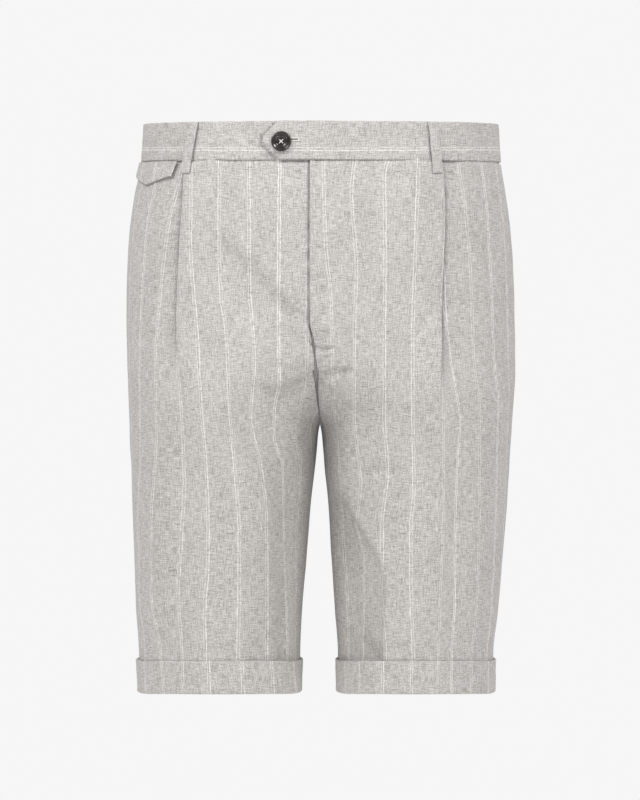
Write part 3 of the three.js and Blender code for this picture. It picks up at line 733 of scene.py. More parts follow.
def pleat_valley(side, z, way, behind):
    """How much deeper the cloth lies behind the pleat's edge, fading where the pleat opens."""
    depth, width, groove, groove_at = VALLEY[side]
    from_seam = VALLEY_AT_SEAM + (1 - VALLEY_AT_SEAM) * smooth((PANEL_TOP - z) / 30)
    closed = smooth((z - VALLEY_END[side]) / VALLEY_FADE) * from_seam
    first = behind - BEND_STEPS - UNDER_STEPS
    edge = way[first : first + BEND_STEPS].max()
    index = np.arange(len(way))
    share = smooth((index - first) / BEND_STEPS)
    fade = np.where(index < behind, 1.0, np.exp(-((np.maximum(way - edge, 0) / width) ** 2)))
    sharp = np.where(index >= behind, np.exp(-(((way - edge - groove_at) / SHARP_WIDTH) ** 2)), 0.0)
    return closed * (depth * share * fade + groove * sharp)


def front_row(side, z):
    """(way, out) of the cloth's middle, and the index behind the pleat's edge."""
    lap = FLY_LAP * smooth((z - FLY_END - FLY_FADE) / FLY_FADE) if side == RIGHT else 0
    seam = front_seam(z) - front_drift(z) + side * EDGE_GAP / 2 + lap
    start = EDGE_GAP / 2 if z < CROTCH else way_at_x(side, z, seam)
    end = way_at(side, z, np.pi) + SIDE_SEAM_BACK - EDGE_GAP / 2
    pleat, behind = pleat_path(side, z)
    way = np.concatenate(
        [
            np.linspace(start, start + FLY_REACH, EDGE_STEPS, endpoint=False),
            np.linspace(start + FLY_REACH, pleat[0, 0], FRONT_STEPS - EDGE_STEPS, endpoint=False),
            pleat[:, 0],
            np.linspace(pleat[-1, 0], end, SIDE_STEPS + 1)[1:],
        ]
    )
    out = np.concatenate([np.zeros(FRONT_STEPS), pleat[:, 1], np.zeros(SIDE_STEPS)])
    out = out - pleat_valley(side, z, way, behind + FRONT_STEPS)
    fly = smooth((z - FLY_END) / FLY_FADE) if z > CROTCH else 0
    if side == LEFT:
        from_edge = way - start
        out = out + (CLOTH + LAP_GAP) * fly * (1 - smooth((from_edge - FLY_LAP - 3) / FLY_SPREAD))
        rounded = 0.5 * np.exp(-((from_edge / 0.6) ** 2))
        out = out + fly * (FLY_PROUD * np.exp(-from_edge / FLY_EDGE_FALL) - rounded)
    else:
        uneven = 0.75 + 0.8 * noise.noise(Vector((0.0, 3.0, z / 9)))
        out = out - fly * uneven * FLY_GROOVE * np.exp(-(((way - start - lap - 0.7) / 0.9) ** 2))
    groove = 0.15 + GROOVE_DEPTH * smooth((z - GROOVE_FROM) / GROOVE_FADE)
    out = out + seam_dip(way - start, groove, 1.05, 4) * (1 - fly) + seam_dip(end - way)
    return way, out - CLOTH / 2, FRONT_STEPS + behind


BACK_EDGE_GAP = 0.02  # smaller than EDGE_GAP: this seam lies behind the fronts' one, and light would show
FLAT_FROM, FLAT_TO = -222, -275  # between these heights the back seam is hardly drawn in, to stay shut
FADE_ABOVE, FADE_BELOW = 30, 16  # over these heights above each of them that changes


def back_row(side, z):
    """(way, out) of the cloth's middle. A back has no pleat."""
    start = way_at(side, z, np.pi) + SIDE_SEAM_BACK + EDGE_GAP / 2
    if z < CROTCH:
        end = ring_ways(side, z)[-1] - EDGE_GAP / 2
    else:
        end = way_at_x(side, z, side * BACK_EDGE_GAP / 2, "back")
    way = np.linspace(start, end, BACK_STEPS)
    above, below = smooth((z - FLAT_FROM) / FADE_ABOVE), 1 - smooth((z - FLAT_TO) / FADE_BELOW)
    drawn_in = max(float(above), float(below))
    out = seam_dip(way - start) + seam_dip(end - way, 0.9 * drawn_in, 2.2)
    return way, out - CLOTH / 2, None


print("columns:", len(front_row(LEFT, -100)[0]), "in a front,", BACK_STEPS, "in a back")

# %% [markdown]
# ## Where the stripes run
#
# The stripes are straight in the flat cloth, and they wander on the body because the cloth
# does. There are two ways to get that: simulate the cutting and draping of every piece, or
# say where the stripes lie and let the flat coordinates follow. The second one is exact where
# it shows most. Each stripe's course down the front is a short list of (x, z) places in
# millimetres, and the cloth between two courses is always one repeat wide, also where most of
# it is hidden in the pleat. That's how the stripes vanish under the fold and come out again.

# %% Stripe courses on the fronts
# Numbered from each front's middle stripe, higher towards the wearer's left, as (x, z) places
COURSES = {
    RIGHT: {
        -3: [(-124.5, -21), (-127, -35), (-137.5, -81), (-145, -150), (-148.5, -204), (-147.5, -263),
             (-153, -354), (-153, -409), (-144, -459)],
        -2: [(-127.5, -208), (-124.5, -240), (-121.5, -308), (-125, -368), (-127.5, -408), (-124.5, -460)],
        -1: [(-116, -30), (-116, -93), (-113.5, -136), (-110, -179), (-107.5, -228), (-102.5, -293),
             (-100.5, -350), (-101, -386), (-104, -425), (-103.5, -466)],
        0: [(-90, -21), (-90.5, -94), (-88.5, -143), (-84, -173), (-80.5, -246), (-75, -314), (-72.5, -356),
            (-72.5, -392), (-74, -470)],
        1: [(-64, -21), (-63, -131), (-58.5, -201), (-62, -251), (-53.5, -293), (-48, -350), (-48, -408),
            (-48.5, -467)],
        2: [(-36, -21), (-37, -180), (-36.5, -222), (-41, -246), (-41.5, -267), (-33.5, -299),
            (-32.5, -357), (-29, -454)],
        3: [(-10.5, -21), (-11, -112), (-12, -204), (-17.5, -243), (-22, -266), (-17.5, -297), (-22, -367),
            (-23, -499)],
    },
    LEFT: {
        -3: [(3, -21), (5, -94), (10, -146), (11, -184), (12.5, -236), (16.5, -281), (21, -360), (26, -440),
             (27, -499)],
        -2: [(30.5, -19), (28, -49), (32.5, -114), (30.5, -184), (30.5, -247), (36.5, -312), (33.5, -353),
             (40, -383), (40, -408), (38.5, -462)],
        -1: [(60, -19), (57.5, -33), (58, -94), (57.5, -184), (57.5, -247), (60.5, -299), (56, -349),
             (56, -393), (59, -463)],
        0: [(88.5, -21), (85.5, -94), (84, -139), (82.5, -184), (83, -247), (84, -318), (81.5, -349),
            (82, -408), (84, -463)],
        1: [(109, -197), (107, -272), (106, -317), (105.5, -458)],
        2: [(111, -146), (114.5, -181), (118, -209), (125.5, -258), (123, -290), (121, -362), (121, -408),
            (118.5, -461)],
        3: [(124.5, -17), (131, -63), (136.5, -139), (138, -196), (143.5, -247), (143.5, -337),
            (141.5, -426), (136.5, -468)],
    },
}
COURSE_CURVES = {
    side: {k: curve_through([(z, side * x) for x, z in points]) for k, points in courses.items()}
    for side, courses in COURSES.items()
}
EMERGES = {(RIGHT, -2): -208, (LEFT, 1): -197, (LEFT, 2): -146}  # heights where these leave the pleat
EMERGE_BLEND = 55  # above them, over this height, their places change to even steps in the hidden cloth
REPEAT_MM = STRIPE_REPEAT * 1000


def cloth_length(way, out):
    """How far along the cloth each point of a row lies."""
    return np.concatenate([[0], np.cumsum(np.hypot(np.diff(way), np.diff(out)))])


def front_across(side, z, reach, length, behind, shift=0.0):
    """The flat cloth's u of a front row, in mm, from how far each point is from the middle."""
    known = []
    before_reach = np.maximum.accumulate(reach[:behind])
    after_reach = np.maximum.accumulate(reach[behind:])
    for k, curve in COURSE_CURVES[side].items():
        at = float(curve(z)) - shift
        beyond_pleat = k * side > 0 and (side, k) != (RIGHT, -1)
        if beyond_pleat:
            known.append([k, np.interp(at, after_reach, length[behind:])])
        else:
            known.append([k, np.interp(at, before_reach, length[:behind])])
    known.sort(key=lambda pair: side * pair[0])
    for i, (k, at) in enumerate(known):
        if (side, k) in EMERGES and 0 < i < len(known) - 1:
            firm = smooth((EMERGES[(side, k)] + EMERGE_BLEND - z) / EMERGE_BLEND)
            firm_below = [j for j in range(i) if (side, known[j][0]) not in EMERGES]
            firm_above = [j for j in range(i + 1, len(known)) if (side, known[j][0]) not in EMERGES]
            a, b = known[firm_below[-1]], known[firm_above[0]]
            share = (k - a[0]) / (b[0] - a[0])
            known[i][1] = firm * at + (1 - firm) * (a[1] + share * (b[1] - a[1]))
    ways = np.array([pair[1] for pair in known])
    ways = np.maximum.accumulate(ways + np.arange(len(ways)) * 1e-3)
    marks = np.array([pair[0] for pair in known]) * REPEAT_MM
    u = np.interp(length, ways, marks)
    u = np.where(length < ways[0], marks[0] + side * (length - ways[0]), u)
    return np.where(length > ways[-1], marks[-1] + side * (length - ways[-1]), u)


BACK_GRAIN = 72  # the back's stripes run straight down at this distance from the middle


def back_across(side, reach, length):
    """The flat cloth's u of a back row, in mm."""
    grain = np.interp(BACK_GRAIN, reach[::-1], length[::-1])
    return -side * (length - grain) + side * REPEAT_MM * 0.5


print("stripe courses:", {WORD[s]: len(c) for s, c in COURSES.items()})

# %% [markdown]
# ## From rows to a sheet
#
# A sheet is two grids of points, the cloth's outside and its inside, closed round the rim.
# Cloth with no thickness looks like paper where an edge shows, so the millimetre matters.
# Blender's Solidify modifier could add it, but a pleat folds back on itself within two
# millimetres, and here the path's own direction says exactly which side is out.


# %% Make a sheet mesh from two grids
def sheet_mesh(name, outer, inner, u, v, material):
    """outer and inner are (rows, columns, 3) in mm; u and v are the flat cloth in mm."""
    rows, columns = outer.shape[:2]
    far = rows * columns
    points = np.concatenate([outer.reshape(-1, 3), inner.reshape(-1, 3)])
    index = np.arange(far).reshape(rows, columns)
    a, b, c, d = index[:-1, :-1], index[:-1, 1:], index[1:, 1:], index[1:, :-1]
    top = np.stack([a, b, c, d], axis=-1).reshape(-1, 4)
    under = np.stack([a, d, c, b], axis=-1).reshape(-1, 4) + far
    rims = []
    for edge, flip in ((index[:, 0], False), (index[:, -1], True), (index[0], True), (index[-1], False)):
        p, q = edge[:-1], edge[1:]
        quad = np.stack([p, q, q + far, p + far], axis=-1)
        rims.append(quad[:, ::-1] if flip else quad)
    faces = np.concatenate([top, under, *rims])
    first = points[faces[0]]
    normal = np.cross(first[1] - first[0], first[3] - first[0])
    if np.dot(normal, points[0] - points[far]) < 0:
        faces = faces[:, ::-1]
    piece = add_piece(name, points, faces.tolist(), material)
    flat = np.tile(np.stack([u.ravel(), v.ravel()], axis=-1) / 1000, (2, 1))
    corners = np.empty(len(piece.data.loops), dtype=np.int64)
    piece.data.loops.foreach_get("vertex_index", corners)
    piece.data.uv_layers.new(name="cloth").data.foreach_set("uv", flat[corners].ravel())
    return piece


def declare(piece, node):
    """Hangs the piece on the body and hides the frame's part that it stands for."""
    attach(piece, BODY)
    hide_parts(node)


# %% [markdown]
# ## The four panels
#
# Fronts and backs are the same loop with another row. The rows are closer together near the
# waist, where the cloth is pulled into the seam and puckers a little.

# %% Fronts and backs
ROW_STEP = 2.05
FINE_ROWS = (-178, -226)
NEAR_SEAM = [-2.6, -1.2, 0, 0.5, 1.1, 2.0, 3.2]  # the first two rows are tucked in behind the waistband


def panel_heights():
    """The rows' heights, from the waist seam down, closer together where the cloth creases finely."""
    heights = [PANEL_TOP - d for d in NEAR_SEAM]
    while heights[-1] > PANEL_BOTTOM + ROW_STEP * 1.2:
        finely = FINE_ROWS[1] < heights[-1] < FINE_ROWS[0]
        heights.append(heights[-1] - (ROW_STEP / 2 if finely else ROW_STEP))
    return heights + [PANEL_BOTTOM]


PUCKER_WIDTH, PUCKER_REACH = 7.0, 9  # a gather's width, and how far from the seam it dies away


def puckers(x, z):
    """Short gathers just under the waist seam and above the turn-up."""
    below = PANEL_TOP - z
    above = z - (HEM + CUFF_HEIGHT)
    waves = np.array([[noise.noise(Vector((a / PUCKER_WIDTH, 3.3, 0))) for a in row] for row in x])
    return waves * (0.55 * np.exp(-below / PUCKER_REACH) + 0.45 * np.exp(-np.abs(above) / PUCKER_REACH))


def faces_of(way, out, cloth):
    """The outside and inside of a row: half the cloth to each side, square to the path."""
    dw, do = np.gradient(way), np.gradient(out)
    length = np.hypot(dw, do)
    nw, no = -do / length * cloth / 2, dw / length * cloth / 2
    return (way + nw, out + no), (way - nw, out - no)


# the creases begin at one distance from the middle plane, where side seams and inseams lie, and
# are full from the other on
NO_CREASE, FULL_CREASE = 14, 52


def lay_panel(side, face, row_of):
    """Outer grid, inner grid and the flat coordinates of one panel."""
    heights = np.array(panel_heights())
    rows = [row_of(side, z) for z in heights]
    way, out = np.stack([row[0] for row in rows]), np.stack([row[1] for row in rows])
    level = np.repeat(heights[:, None], way.shape[1], axis=1)
    base = place(side, level, way, out)
    x = base[..., 0]
    creases = FRONT_CREASES if face == "front" else BACK_CREASES
    relief = -sum(crease_depth(crease, x, level) for crease in creases)
    relief = relief * smooth((np.abs(base[..., 1]) - NO_CREASE) / (FULL_CREASE - NO_CREASE))
    relief = relief + unevenness(x, level, base[..., 1]) + puckers(x, level)
    columns = np.arange(way.shape[1])
    relief = relief * smooth(np.minimum(columns, columns[::-1]) / 4)
    relief = relief + seam_dip(np.maximum(PANEL_TOP - level, 0), 1.7, 1.7)
    faces = [faces_of(w, o, CLOTH) for w, o in zip(way, out)]
    (ow, oo), (iw, io) = [[np.stack([f[k][j] for f in faces]) for j in (0, 1)] for k in (0, 1)]
    outer = place(side, level, ow, oo + relief)
    inner = place(side, level, iw, io + relief)
    across = []
    for z, (w, o, behind), reach in zip(heights, rows, side * outer[..., 0]):
        length = cloth_length(w, o)
        if behind is None:
            across.append(back_across(side, reach, length))
        else:
            across.append(front_across(side, z, reach, length, behind))
    return outer, inner, np.stack(across), -level


def sew_panel(side, face, row_of):
    outer, inner, across, down = lay_panel(side, face, row_of)
    node = f"{face}_{WORD[side]}"
    piece = sheet_mesh(f"{node}_cloth", outer, inner, across, down, linen)
    declare(piece, node)


for panel_side in (RIGHT, LEFT):
    sew_panel(panel_side, "front", front_row)
    sew_panel(panel_side, "back", back_row)

# %% [markdown]
# ## Waistband and tab
#
# A waistband is a straight strip folded over a stiffener, so it's thicker than the cloth and
# keeps its edge. It was cut across the cloth here: its stripe lies level. The left end laps
# over the right one and ends in a pointed tab. Both are made from columns round the waist,
# and the tab's columns simply get shorter towards the point.

# %% Waistband
BAND_ROWS, BAND_BACK_STEPS = 40, 130
BAND_STRIPE = curve_through([(0, -8.4), (100, -7.4), (165, -5.6)])  # where the level stripe lies


def tab_lift(x):
    """How far the left end stands over the right end."""
    return (WAISTBAND_CLOTH + SEAM_GAP) * (1 - smooth((x - TAB_LIFT_FULL) / (TAB_LIFT_FROM - TAB_LIFT_FULL)))


def finer_at_ends(edge, low, high, count):
    """Shares from 0 to 1: those of the edge list at both ends, and even ones in the middle."""
    return np.concatenate([edge, np.linspace(low, high, count), 1 - np.array(edge)[::-1]])


def edge_round(share, height, radius=1.1):
    """How far a folded edge curves in, for shares 0 to 1 of a band's height."""
    inside = np.minimum(share, 1 - share) * height
    d = np.clip(1 - inside / radius, 0, 1)
    return -radius * (1 - np.sqrt(1 - d**2 * 0.98))


def band_columns(side):
    """(x, half height, lift) of each column in front, from the middle outwards."""
    columns = []
    if side == LEFT:
        for t in np.concatenate([[0, 0.02, 0.06], np.linspace(0.12, 1, 16)]):
            x = -(TAB_TIP + (TAB_CORNER - TAB_TIP) * t)
            half = TAB_TIP_HEIGHT / 2 * min(1.0, 0.55 + 8 * t) + (WAIST_TOP - TAB_TIP_HEIGHT / 2) * t
            columns.append((x, min(half, WAIST_TOP), tab_lift(-TAB_CORNER)))
        columns += [(x, WAIST_TOP, tab_lift(x)) for x in np.linspace(-TAB_CORNER + 1.5, TAB_LIFT_FROM, 30)]
    else:
        columns = [(x, WAIST_TOP, 0.0) for x in np.linspace(-1, -62, 110)]
    return columns


BAND_CREASES = [
    ([(-84, 15), (-62, 4), (-48, -14)], 1.2, 5, 9),
    ([(-104, 10), (-92, -10)], 0.6, 6, 9),
    ([(38, 14), (46, -10)], 0.6, 6, 9),
    ([(88, 12), (80, -12)], 0.5, 6, 9),
]
# the right part gives way under the tab's edges, so they show as fine dark lines
TAB_GROOVE = [
    ([(-TAB_TIP + 3, 9), (-TAB_TIP - 1, 3), (-TAB_TIP - 1, -3), (-TAB_CORNER - 0.8, -WAIST_TOP),
      (-TAB_CORNER + 8, -30)], 3.0, 1.3, 1.3),
    ([(-TAB_CORNER + 6, 24), (-TAB_CORNER - 1.2, WAIST_TOP), (-TAB_TIP - 1, 3)], 0.9, 1.3, 1.3),
]


def lay_waistband(side):
    """Outer grid, inner grid and the flat coordinates of one half of the band."""
    columns = band_columns(side)
    last = columns[-1][0]
    shares = finer_at_ends([0, 0.012, 0.03, 0.06], 0.1, 0.9, BAND_ROWS)
    creases = BAND_CREASES + (TAB_GROOVE if side == RIGHT else [])
    grids = []
    for c in range(len(columns) + BAND_BACK_STEPS):
        x, half, lift = columns[c] if c < len(columns) else (last, WAIST_TOP, columns[-1][2])
        part = max(0, c - len(columns) + 1) / BAND_BACK_STEPS
        z = half * (2 * shares - 1)
        way = way_at_x(side, z, x)
        if part:
            way = way + (way_at_x(side, z, side * SEAM_GAP / 2, "back") - way) * part
        rounding = edge_round(shares, 2 * half)
        middle = place(side, z, way, lift)
        soft = np.array([0.3 * noise.noise(p / 22) + 0.2 * noise.noise(p / 8) for p in map(Vector, middle)])
        soft = soft - sum(crease_depth(crease, middle[:, 0], z) for crease in creases if middle[5, 1] < 0)
        soft = soft * smooth(min(c, 5) / 5)
        if side == LEFT and c < 5:
            soft = soft - 0.6 * (1 - c / 5) ** 2
        outer = place(side, z, way, rounding + lift + soft)
        inner = place(side, z, way, lift - WAISTBAND_CLOTH - rounding * 0.5)
        u = z - BAND_STRIPE(np.abs(outer[:, 0]))
        grids.append((outer, inner, u, side * way))
    return [np.stack(grid, axis=1) for grid in zip(*grids)]


for band_side in (RIGHT, LEFT):
    band_outer, band_inner, band_u, band_v = lay_waistband(band_side)
    band_name = f"waistband_{WORD[band_side]}"
    band = sheet_mesh(f"{band_name}_cloth", band_outer, band_inner, band_u, band_v, linen)
    declare(band, band_name)

# %% [markdown]
# ## Turn-ups
#
# The turn-up is the leg's own end folded up outside it, so its columns are the leg's columns,
# moved out, and its stripes are the leg's stripes, a few millimetres off, because the leg
# narrows and the fold brings a wider part back over a narrower one. Its section is a loop:
# up the inside, over the folded top edge, down the outside and round the hem.

# %% Turn-ups
# How much nearer the inseam the stripes lie on the turn-up, at its top edge and at the hem
CUFF_SHIFT = {RIGHT: (2.1, 5.0), LEFT: (1.8, 1.2)}
CUFF_DROP = 2.6  # the turn-up hangs this much lower at its sides
OUTSIDE_ROUND = 10  # one of the section's points that lie on its outside


HEM_ROUND = 1.3  # the radius of the fold at the hem


def cuff_section():
    """(out, height) round the turn-up's section, starting inside at the top."""
    top, near, far = HEM + CUFF_HEIGHT, LAP_GAP, LAP_GAP + CUFF_CLOTH
    middle, half = (near + far) / 2, CUFF_CLOTH / 2
    half_turn, quarter = np.linspace(0, math.pi, 7), np.linspace(0.3, 1.57, 5)
    over = [(middle - half * math.cos(a), top - half + half * math.sin(a)) for a in half_turn]
    outside = [(far, z) for z in np.linspace(top - half, HEM + HEM_ROUND, 15)[1:]]
    round_hem = [(far + HEM_ROUND * (math.cos(a) - 1), HEM + HEM_ROUND * (1 - math.sin(a))) for a in quarter]
    under = [(x, HEM) for x in (0.2, -0.4)] + [(-CLOTH + 0.05, HEM + 0.25), (-CLOTH, HEM + CUFF_CLOTH)]
    back_up = [(near, HEM + CUFF_CLOTH)] + [(near, z) for z in np.linspace(HEM + 8, top - half, 4)[:-1]]
    return over + outside + round_hem + under + back_up


def cuff_wave(x, y, z):
    """The turn-up's own waviness, strongest at its free top edge."""
    share = (z - HEM) / CUFF_HEIGHT
    slow = 1.3 * noise.noise(Vector((x / 30, y / 30, 2.0)))
    slow += 0.5 * noise.noise(Vector((x / 11, y / 11, 6.0)))
    return abs(slow) * smooth(share) * 1.1 + 0.35 * noise.noise(Vector((x / 14, y / 14, z / 10)))


def lay_cuff(side):
    """The grid of a turn-up, round its section by round the leg, and its flat u."""
    section = cuff_section()
    reach_row = HEM + CUFF_HEIGHT / 2
    front, back = front_row(side, reach_row), back_row(side, reach_row)
    front_reach = side * place(side, reach_row, front[0], front[1])[:, 0]
    back_reach = side * place(side, reach_row, back[0], back[1])[:, 0]
    u_back = back_across(side, back_reach, cloth_length(*back[:2]))
    grid, across = [], []
    for out, z in section:
        front_here, back_here = front_row(side, z), back_row(side, z)
        way = np.concatenate([front_here[0], back_here[0]])
        away = np.concatenate([front_here[1], back_here[1]]) + CLOTH / 2 + out
        points = place(side, z, way, away)
        outside = smooth((out - LAP_GAP) / CUFF_CLOTH)
        wave = np.array([cuff_wave(*p) for p in points]) * outside
        points = place(side, z, way, away + wave)
        sides = 1 - np.abs(points[:, 1]) / np.abs(points[:, 1]).max()
        points[:, 2] -= CUFF_DROP * smooth(sides * 1.6)
        grid.append(points)
        share = np.clip((z - HEM) / CUFF_HEIGHT, 0, 1)
        shift = CUFF_SHIFT[side][1] + (CUFF_SHIFT[side][0] - CUFF_SHIFT[side][1]) * share
        u = front_across(side, reach_row, front_reach, cloth_length(*front[:2]), front[2], shift)
        across.append(np.concatenate([u, u_back]))
    return np.stack(grid), np.stack(across)


def sew_cuff(side):
    grid, u = lay_cuff(side)
    rounds, steps = grid.shape[:2]
    name = f"cuff_{WORD[side]}"
    front_columns = len(front_row(side, HEM + 5)[0])
    faces, flat = [], []
    travel = np.concatenate([[0], np.cumsum(np.linalg.norm(np.diff(grid[:, 0], axis=0), axis=-1))])
    for r in range(rounds):
        for c in range(steps):
            next_r, next_c = (r + 1) % rounds, (c + 1) % steps
            faces.append((r * steps + c, r * steps + next_c, next_r * steps + next_c, next_r * steps + c))
            start = travel[r]
            end = start + CUFF_CLOTH if next_r == 0 else travel[next_r]
            last = next_c == 0 or c == front_columns - 1
            here, beyond = u[:, c], u[:, c if last else next_c]
            flat += [(here[r], start), (beyond[r], start), (beyond[next_r], end), (here[next_r], end)]
    points = grid.reshape(-1, 3)
    shown = points[list(faces[OUTSIDE_ROUND * steps])]
    outward = np.cross(shown[1] - shown[0], shown[3] - shown[0])
    if np.dot(outward, shown.mean(axis=0) - points.mean(axis=0)) < 0:
        faces = [face[::-1] for face in faces]
        flat = [flat[i + 3 - k] for i in range(0, len(flat), 4) for k in range(4)]
    piece = add_piece(f"{name}_cloth", points, faces, linen)
    piece.data.uv_layers.new(name="cloth").data.foreach_set("uv", (np.array(flat) / 1000).ravel())
    declare_cuff(piece, name)


def declare_cuff(piece, node):
    """The turn-up is a tube of two layers. Hangs it on the body and hides the frame's part that it stands
    for.
    """
    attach(piece, BODY)
    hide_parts(node)


for cuff_side in (RIGHT, LEFT):
    sew_cuff(cuff_side)

# %% [markdown]
# ## Belt loops and the coin pocket's flap
#
# Both are small strips that lie on something else, so their points come from what carries
# them, moved out. A belt loop is sewn down at both ends and stands off in between, to let a
# belt through. The flap hangs free and has a point in the middle of its lower edge.

# %% Belt loops
LOOP_WIDTH, LOOP_CLOTH = 9.6, 1.4
LOOP_SEAT, LOOP_STAND = 0.5, 1.8  # how far out it lies where it's sewn down, and in between
LOOP_BELOW = 12  # how far it reaches below the waist seam
LOOP_OVER_PLEAT = 1.12  # the front loops' lower ends lie on the pleats
LOOP_EDGE = np.array([0, 0.25, 0.7, 1.3])  # rows close together at both ends
# each: its side and face, and the x of its top and its lower end
LOOPS = {
    "belt_loop_front_right": (RIGHT, "front", -113, -120.5),
    "belt_loop_front_left": (LEFT, "front", 101, 105),
    "belt_loop_back_right": (RIGHT, "back", -112, -112),
    "belt_loop_back_left": (LEFT, "back", 112, 112),
    "belt_loop_centre_back": (LEFT, "back", 0, 0),
}


def sew_belt_loop(name, side, face, top_x, bottom_x):
    low, high = WAIST_SEAM - LOOP_BELOW, WAIST_TOP - 0.4
    seat = LOOP_SEAT + (LOOP_OVER_PLEAT if face == "front" else 0)
    stand = curve_through(
        [(low, seat), (WAIST_SEAM - 4, seat), (WAIST_SEAM + 3, seat + 0.5), (-4, LOOP_STAND),
         (6, LOOP_STAND), (14, LOOP_SEAT + 0.5), (high, LOOP_SEAT)]
    )
    heights = np.concatenate([high - LOOP_EDGE, np.linspace(high - 2, low + 2, 34), low + LOOP_EDGE[::-1]])
    shares = np.array([-0.5, -0.485, -0.45, -0.4, -0.3, -0.15, 0, 0.15, 0.3, 0.4, 0.45, 0.485, 0.5])
    outer, inner = [], []
    for z in heights:
        middle = way_at_x(side, z, bottom_x + (top_x - bottom_x) * (z - low) / (WAIST_TOP - low), face)
        wave = 0.35 * noise.noise(Vector((z / 9, top_x / 5, 1.0)))
        way = middle + (shares + wave * 0.06) * LOOP_WIDTH
        edge = edge_round(shares + 0.5, LOOP_WIDTH, 0.7)
        dip = edge_round((z - low) / (heights[0] - low), heights[0] - low, 0.8)
        crown = 0.25 * (1 - (2 * shares) ** 2)
        rise = float(stand(z)) + LOOP_CLOTH + dip + wave * 0.4
        outer.append(place(side, z, way, rise + edge + crown))
        inner.append(place(side, z, way, np.full(len(shares), float(stand(z)))))
    outer, inner = np.stack(outer), np.stack(inner)
    u = np.repeat((shares * LOOP_WIDTH + REPEAT_MM / 2)[None], len(heights), axis=0)
    v = np.repeat(-heights[:, None] + top_x, len(shares), axis=1)
    piece = sheet_mesh(f"{name}_cloth", outer, inner, u, v, plain_linen)
    declare(piece, name)


for loop_name, loop_facts in LOOPS.items():
    sew_belt_loop(loop_name, *loop_facts)

# %% Coin pocket flap
# its outer end's distance from the middle, then its sizes and how far it stands off the panel
FLAP = {"from": 128.5, "width": 82, "point": 21.5, "sides": 14, "taper": 6, "cloth": 1.2, "stand": 0.6}


def sew_flap():
    """The flap, with its free edge curling off the hip a little."""
    top = WAIST_SEAM - SEAM_GAP * 2
    t = finer_at_ends([0, 0.006, 0.016, 0.03], 0.05, 0.95, 61)[None]
    down = np.concatenate([np.linspace(0, 0.86, 16), [0.9, 0.94, 0.97, 0.99, 1]])[:, None]
    depth = FLAP["point"] + (FLAP["sides"] - FLAP["point"]) * np.minimum(1, np.abs(t - 0.5) * 2.1)
    z = top - depth * down
    way = way_at_x(RIGHT, z, -FLAP["from"]) + t * FLAP["width"] + (0.5 - t) * 2 * FLAP["taper"] * down
    curl = 1.1 * smooth(down) * np.ones_like(t)
    inside = np.minimum(np.minimum(t, 1 - t) * FLAP["width"], (1 - down) * depth)
    edge = -0.7 * (1 - np.sqrt(1 - np.clip(1 - inside / 0.9, 0, 1) ** 2 * 0.98))
    stitched = -0.22 * np.exp(-(((inside - 3.2) / 0.55) ** 2)) * smooth(z - z.min())
    outer = place(RIGHT, z, way, FLAP["stand"] + FLAP["cloth"] + curl + edge + stitched)
    inner = place(RIGHT, z, way, FLAP["stand"] + curl * 0.9)
    u = -3 * REPEAT_MM - 1 - t * FLAP["width"] * np.ones_like(down)
    piece = sheet_mesh("coin_pocket_flap_cloth", outer, inner, u, -z, linen)
    declare(piece, "coin_pocket_flap")


sew_flap()

# %% [markdown]
# ## The button, its thread and the buttonhole
#
# The button is dark horn: turned on a lathe to a raised rim and a dished middle, drilled with
# four holes and polished. Horn is keratin, with an IOR of 1.54, and it has cloudy brown
# streaks. A polished surface shows its form by its highlights, so the profile's small curves
# matter more than its colour.
#
# The profile is turned with many steps, and the holes are cut with a Boolean modifier, as a
# drill would.

# %% Horn and thread
HORN = {"deep": "161210", "streak": "3b312b"}


def polished_horn():
    material, tree, surface = new_material("polished_dark_horn")
    where = add_node(tree, "ShaderNodeTexCoord").outputs["Object"]
    stretched = add_node(tree, "ShaderNodeMapping", Vector=where, Scale=(260, 260, 90)).outputs[0]
    cloud = add_node(tree, "ShaderNodeTexNoise", Vector=stretched, Scale=1.0, Detail=4.0, Distortion=1.2)
    ramp = add_node(tree, "ShaderNodeValToRGB", Fac=cloud.outputs["Fac"])
    ramp.color_ramp.elements[0].color = linear(HORN["deep"])
    ramp.color_ramp.elements[0].position = 0.42
    ramp.color_ramp.elements[1].color = linear(HORN["streak"])
    ramp.color_ramp.elements[1].position = 0.8
    tree.links.new(ramp.outputs[0], surface.inputs["Base Color"])
    surface.inputs["Roughness"].default_value = 0.14
    surface.inputs["IOR"].default_value = 1.54
    return material


def sewing_thread(name, colour):
    """Spun polyester: matt, with the twist of its two plies as a fine slanted bump."""
    material, tree, surface = new_material(name)
    where = add_node(tree, "ShaderNodeTexCoord").outputs["Object"]
    twist = add_node(
        tree, "ShaderNodeTexWave", {"bands_direction": "DIAGONAL"}, Vector=where, Scale=1400.0,
        Distortion=0.6,
    ).outputs["Fac"]
    light = linear(colour)
    dark = (*[c * 0.78 for c in light[:3]], 1.0)
    shade = add_node(tree, "ShaderNodeMix", {"data_type": "RGBA"}, _0=twist, _6=light, _7=dark)
    bump = add_node(tree, "ShaderNodeBump", Height=twist, Strength=0.4, Distance=0.0001)
    tree.links.new(shade.outputs[2], surface.inputs["Base Color"])
    tree.links.new(bump.outputs[0], surface.inputs["Normal"])
    surface.inputs["Roughness"].default_value = 0.7
    return material


horn = polished_horn()
# the slit's material is painted shade: a dark grey that stands in for the shade deep in the slit
slit_painted_shade = sewing_thread("painted_shade_in_the_slit", "57524c")
grey_thread = sewing_thread("grey_sewing_thread", "e4e0da")

# %% Button
BUTTON_AT = (-34.3, -1.6)
BUTTON_HOLE, HOLES_APART = 0.85, 1.6  # a hole's radius, and how far its middle is from x and z
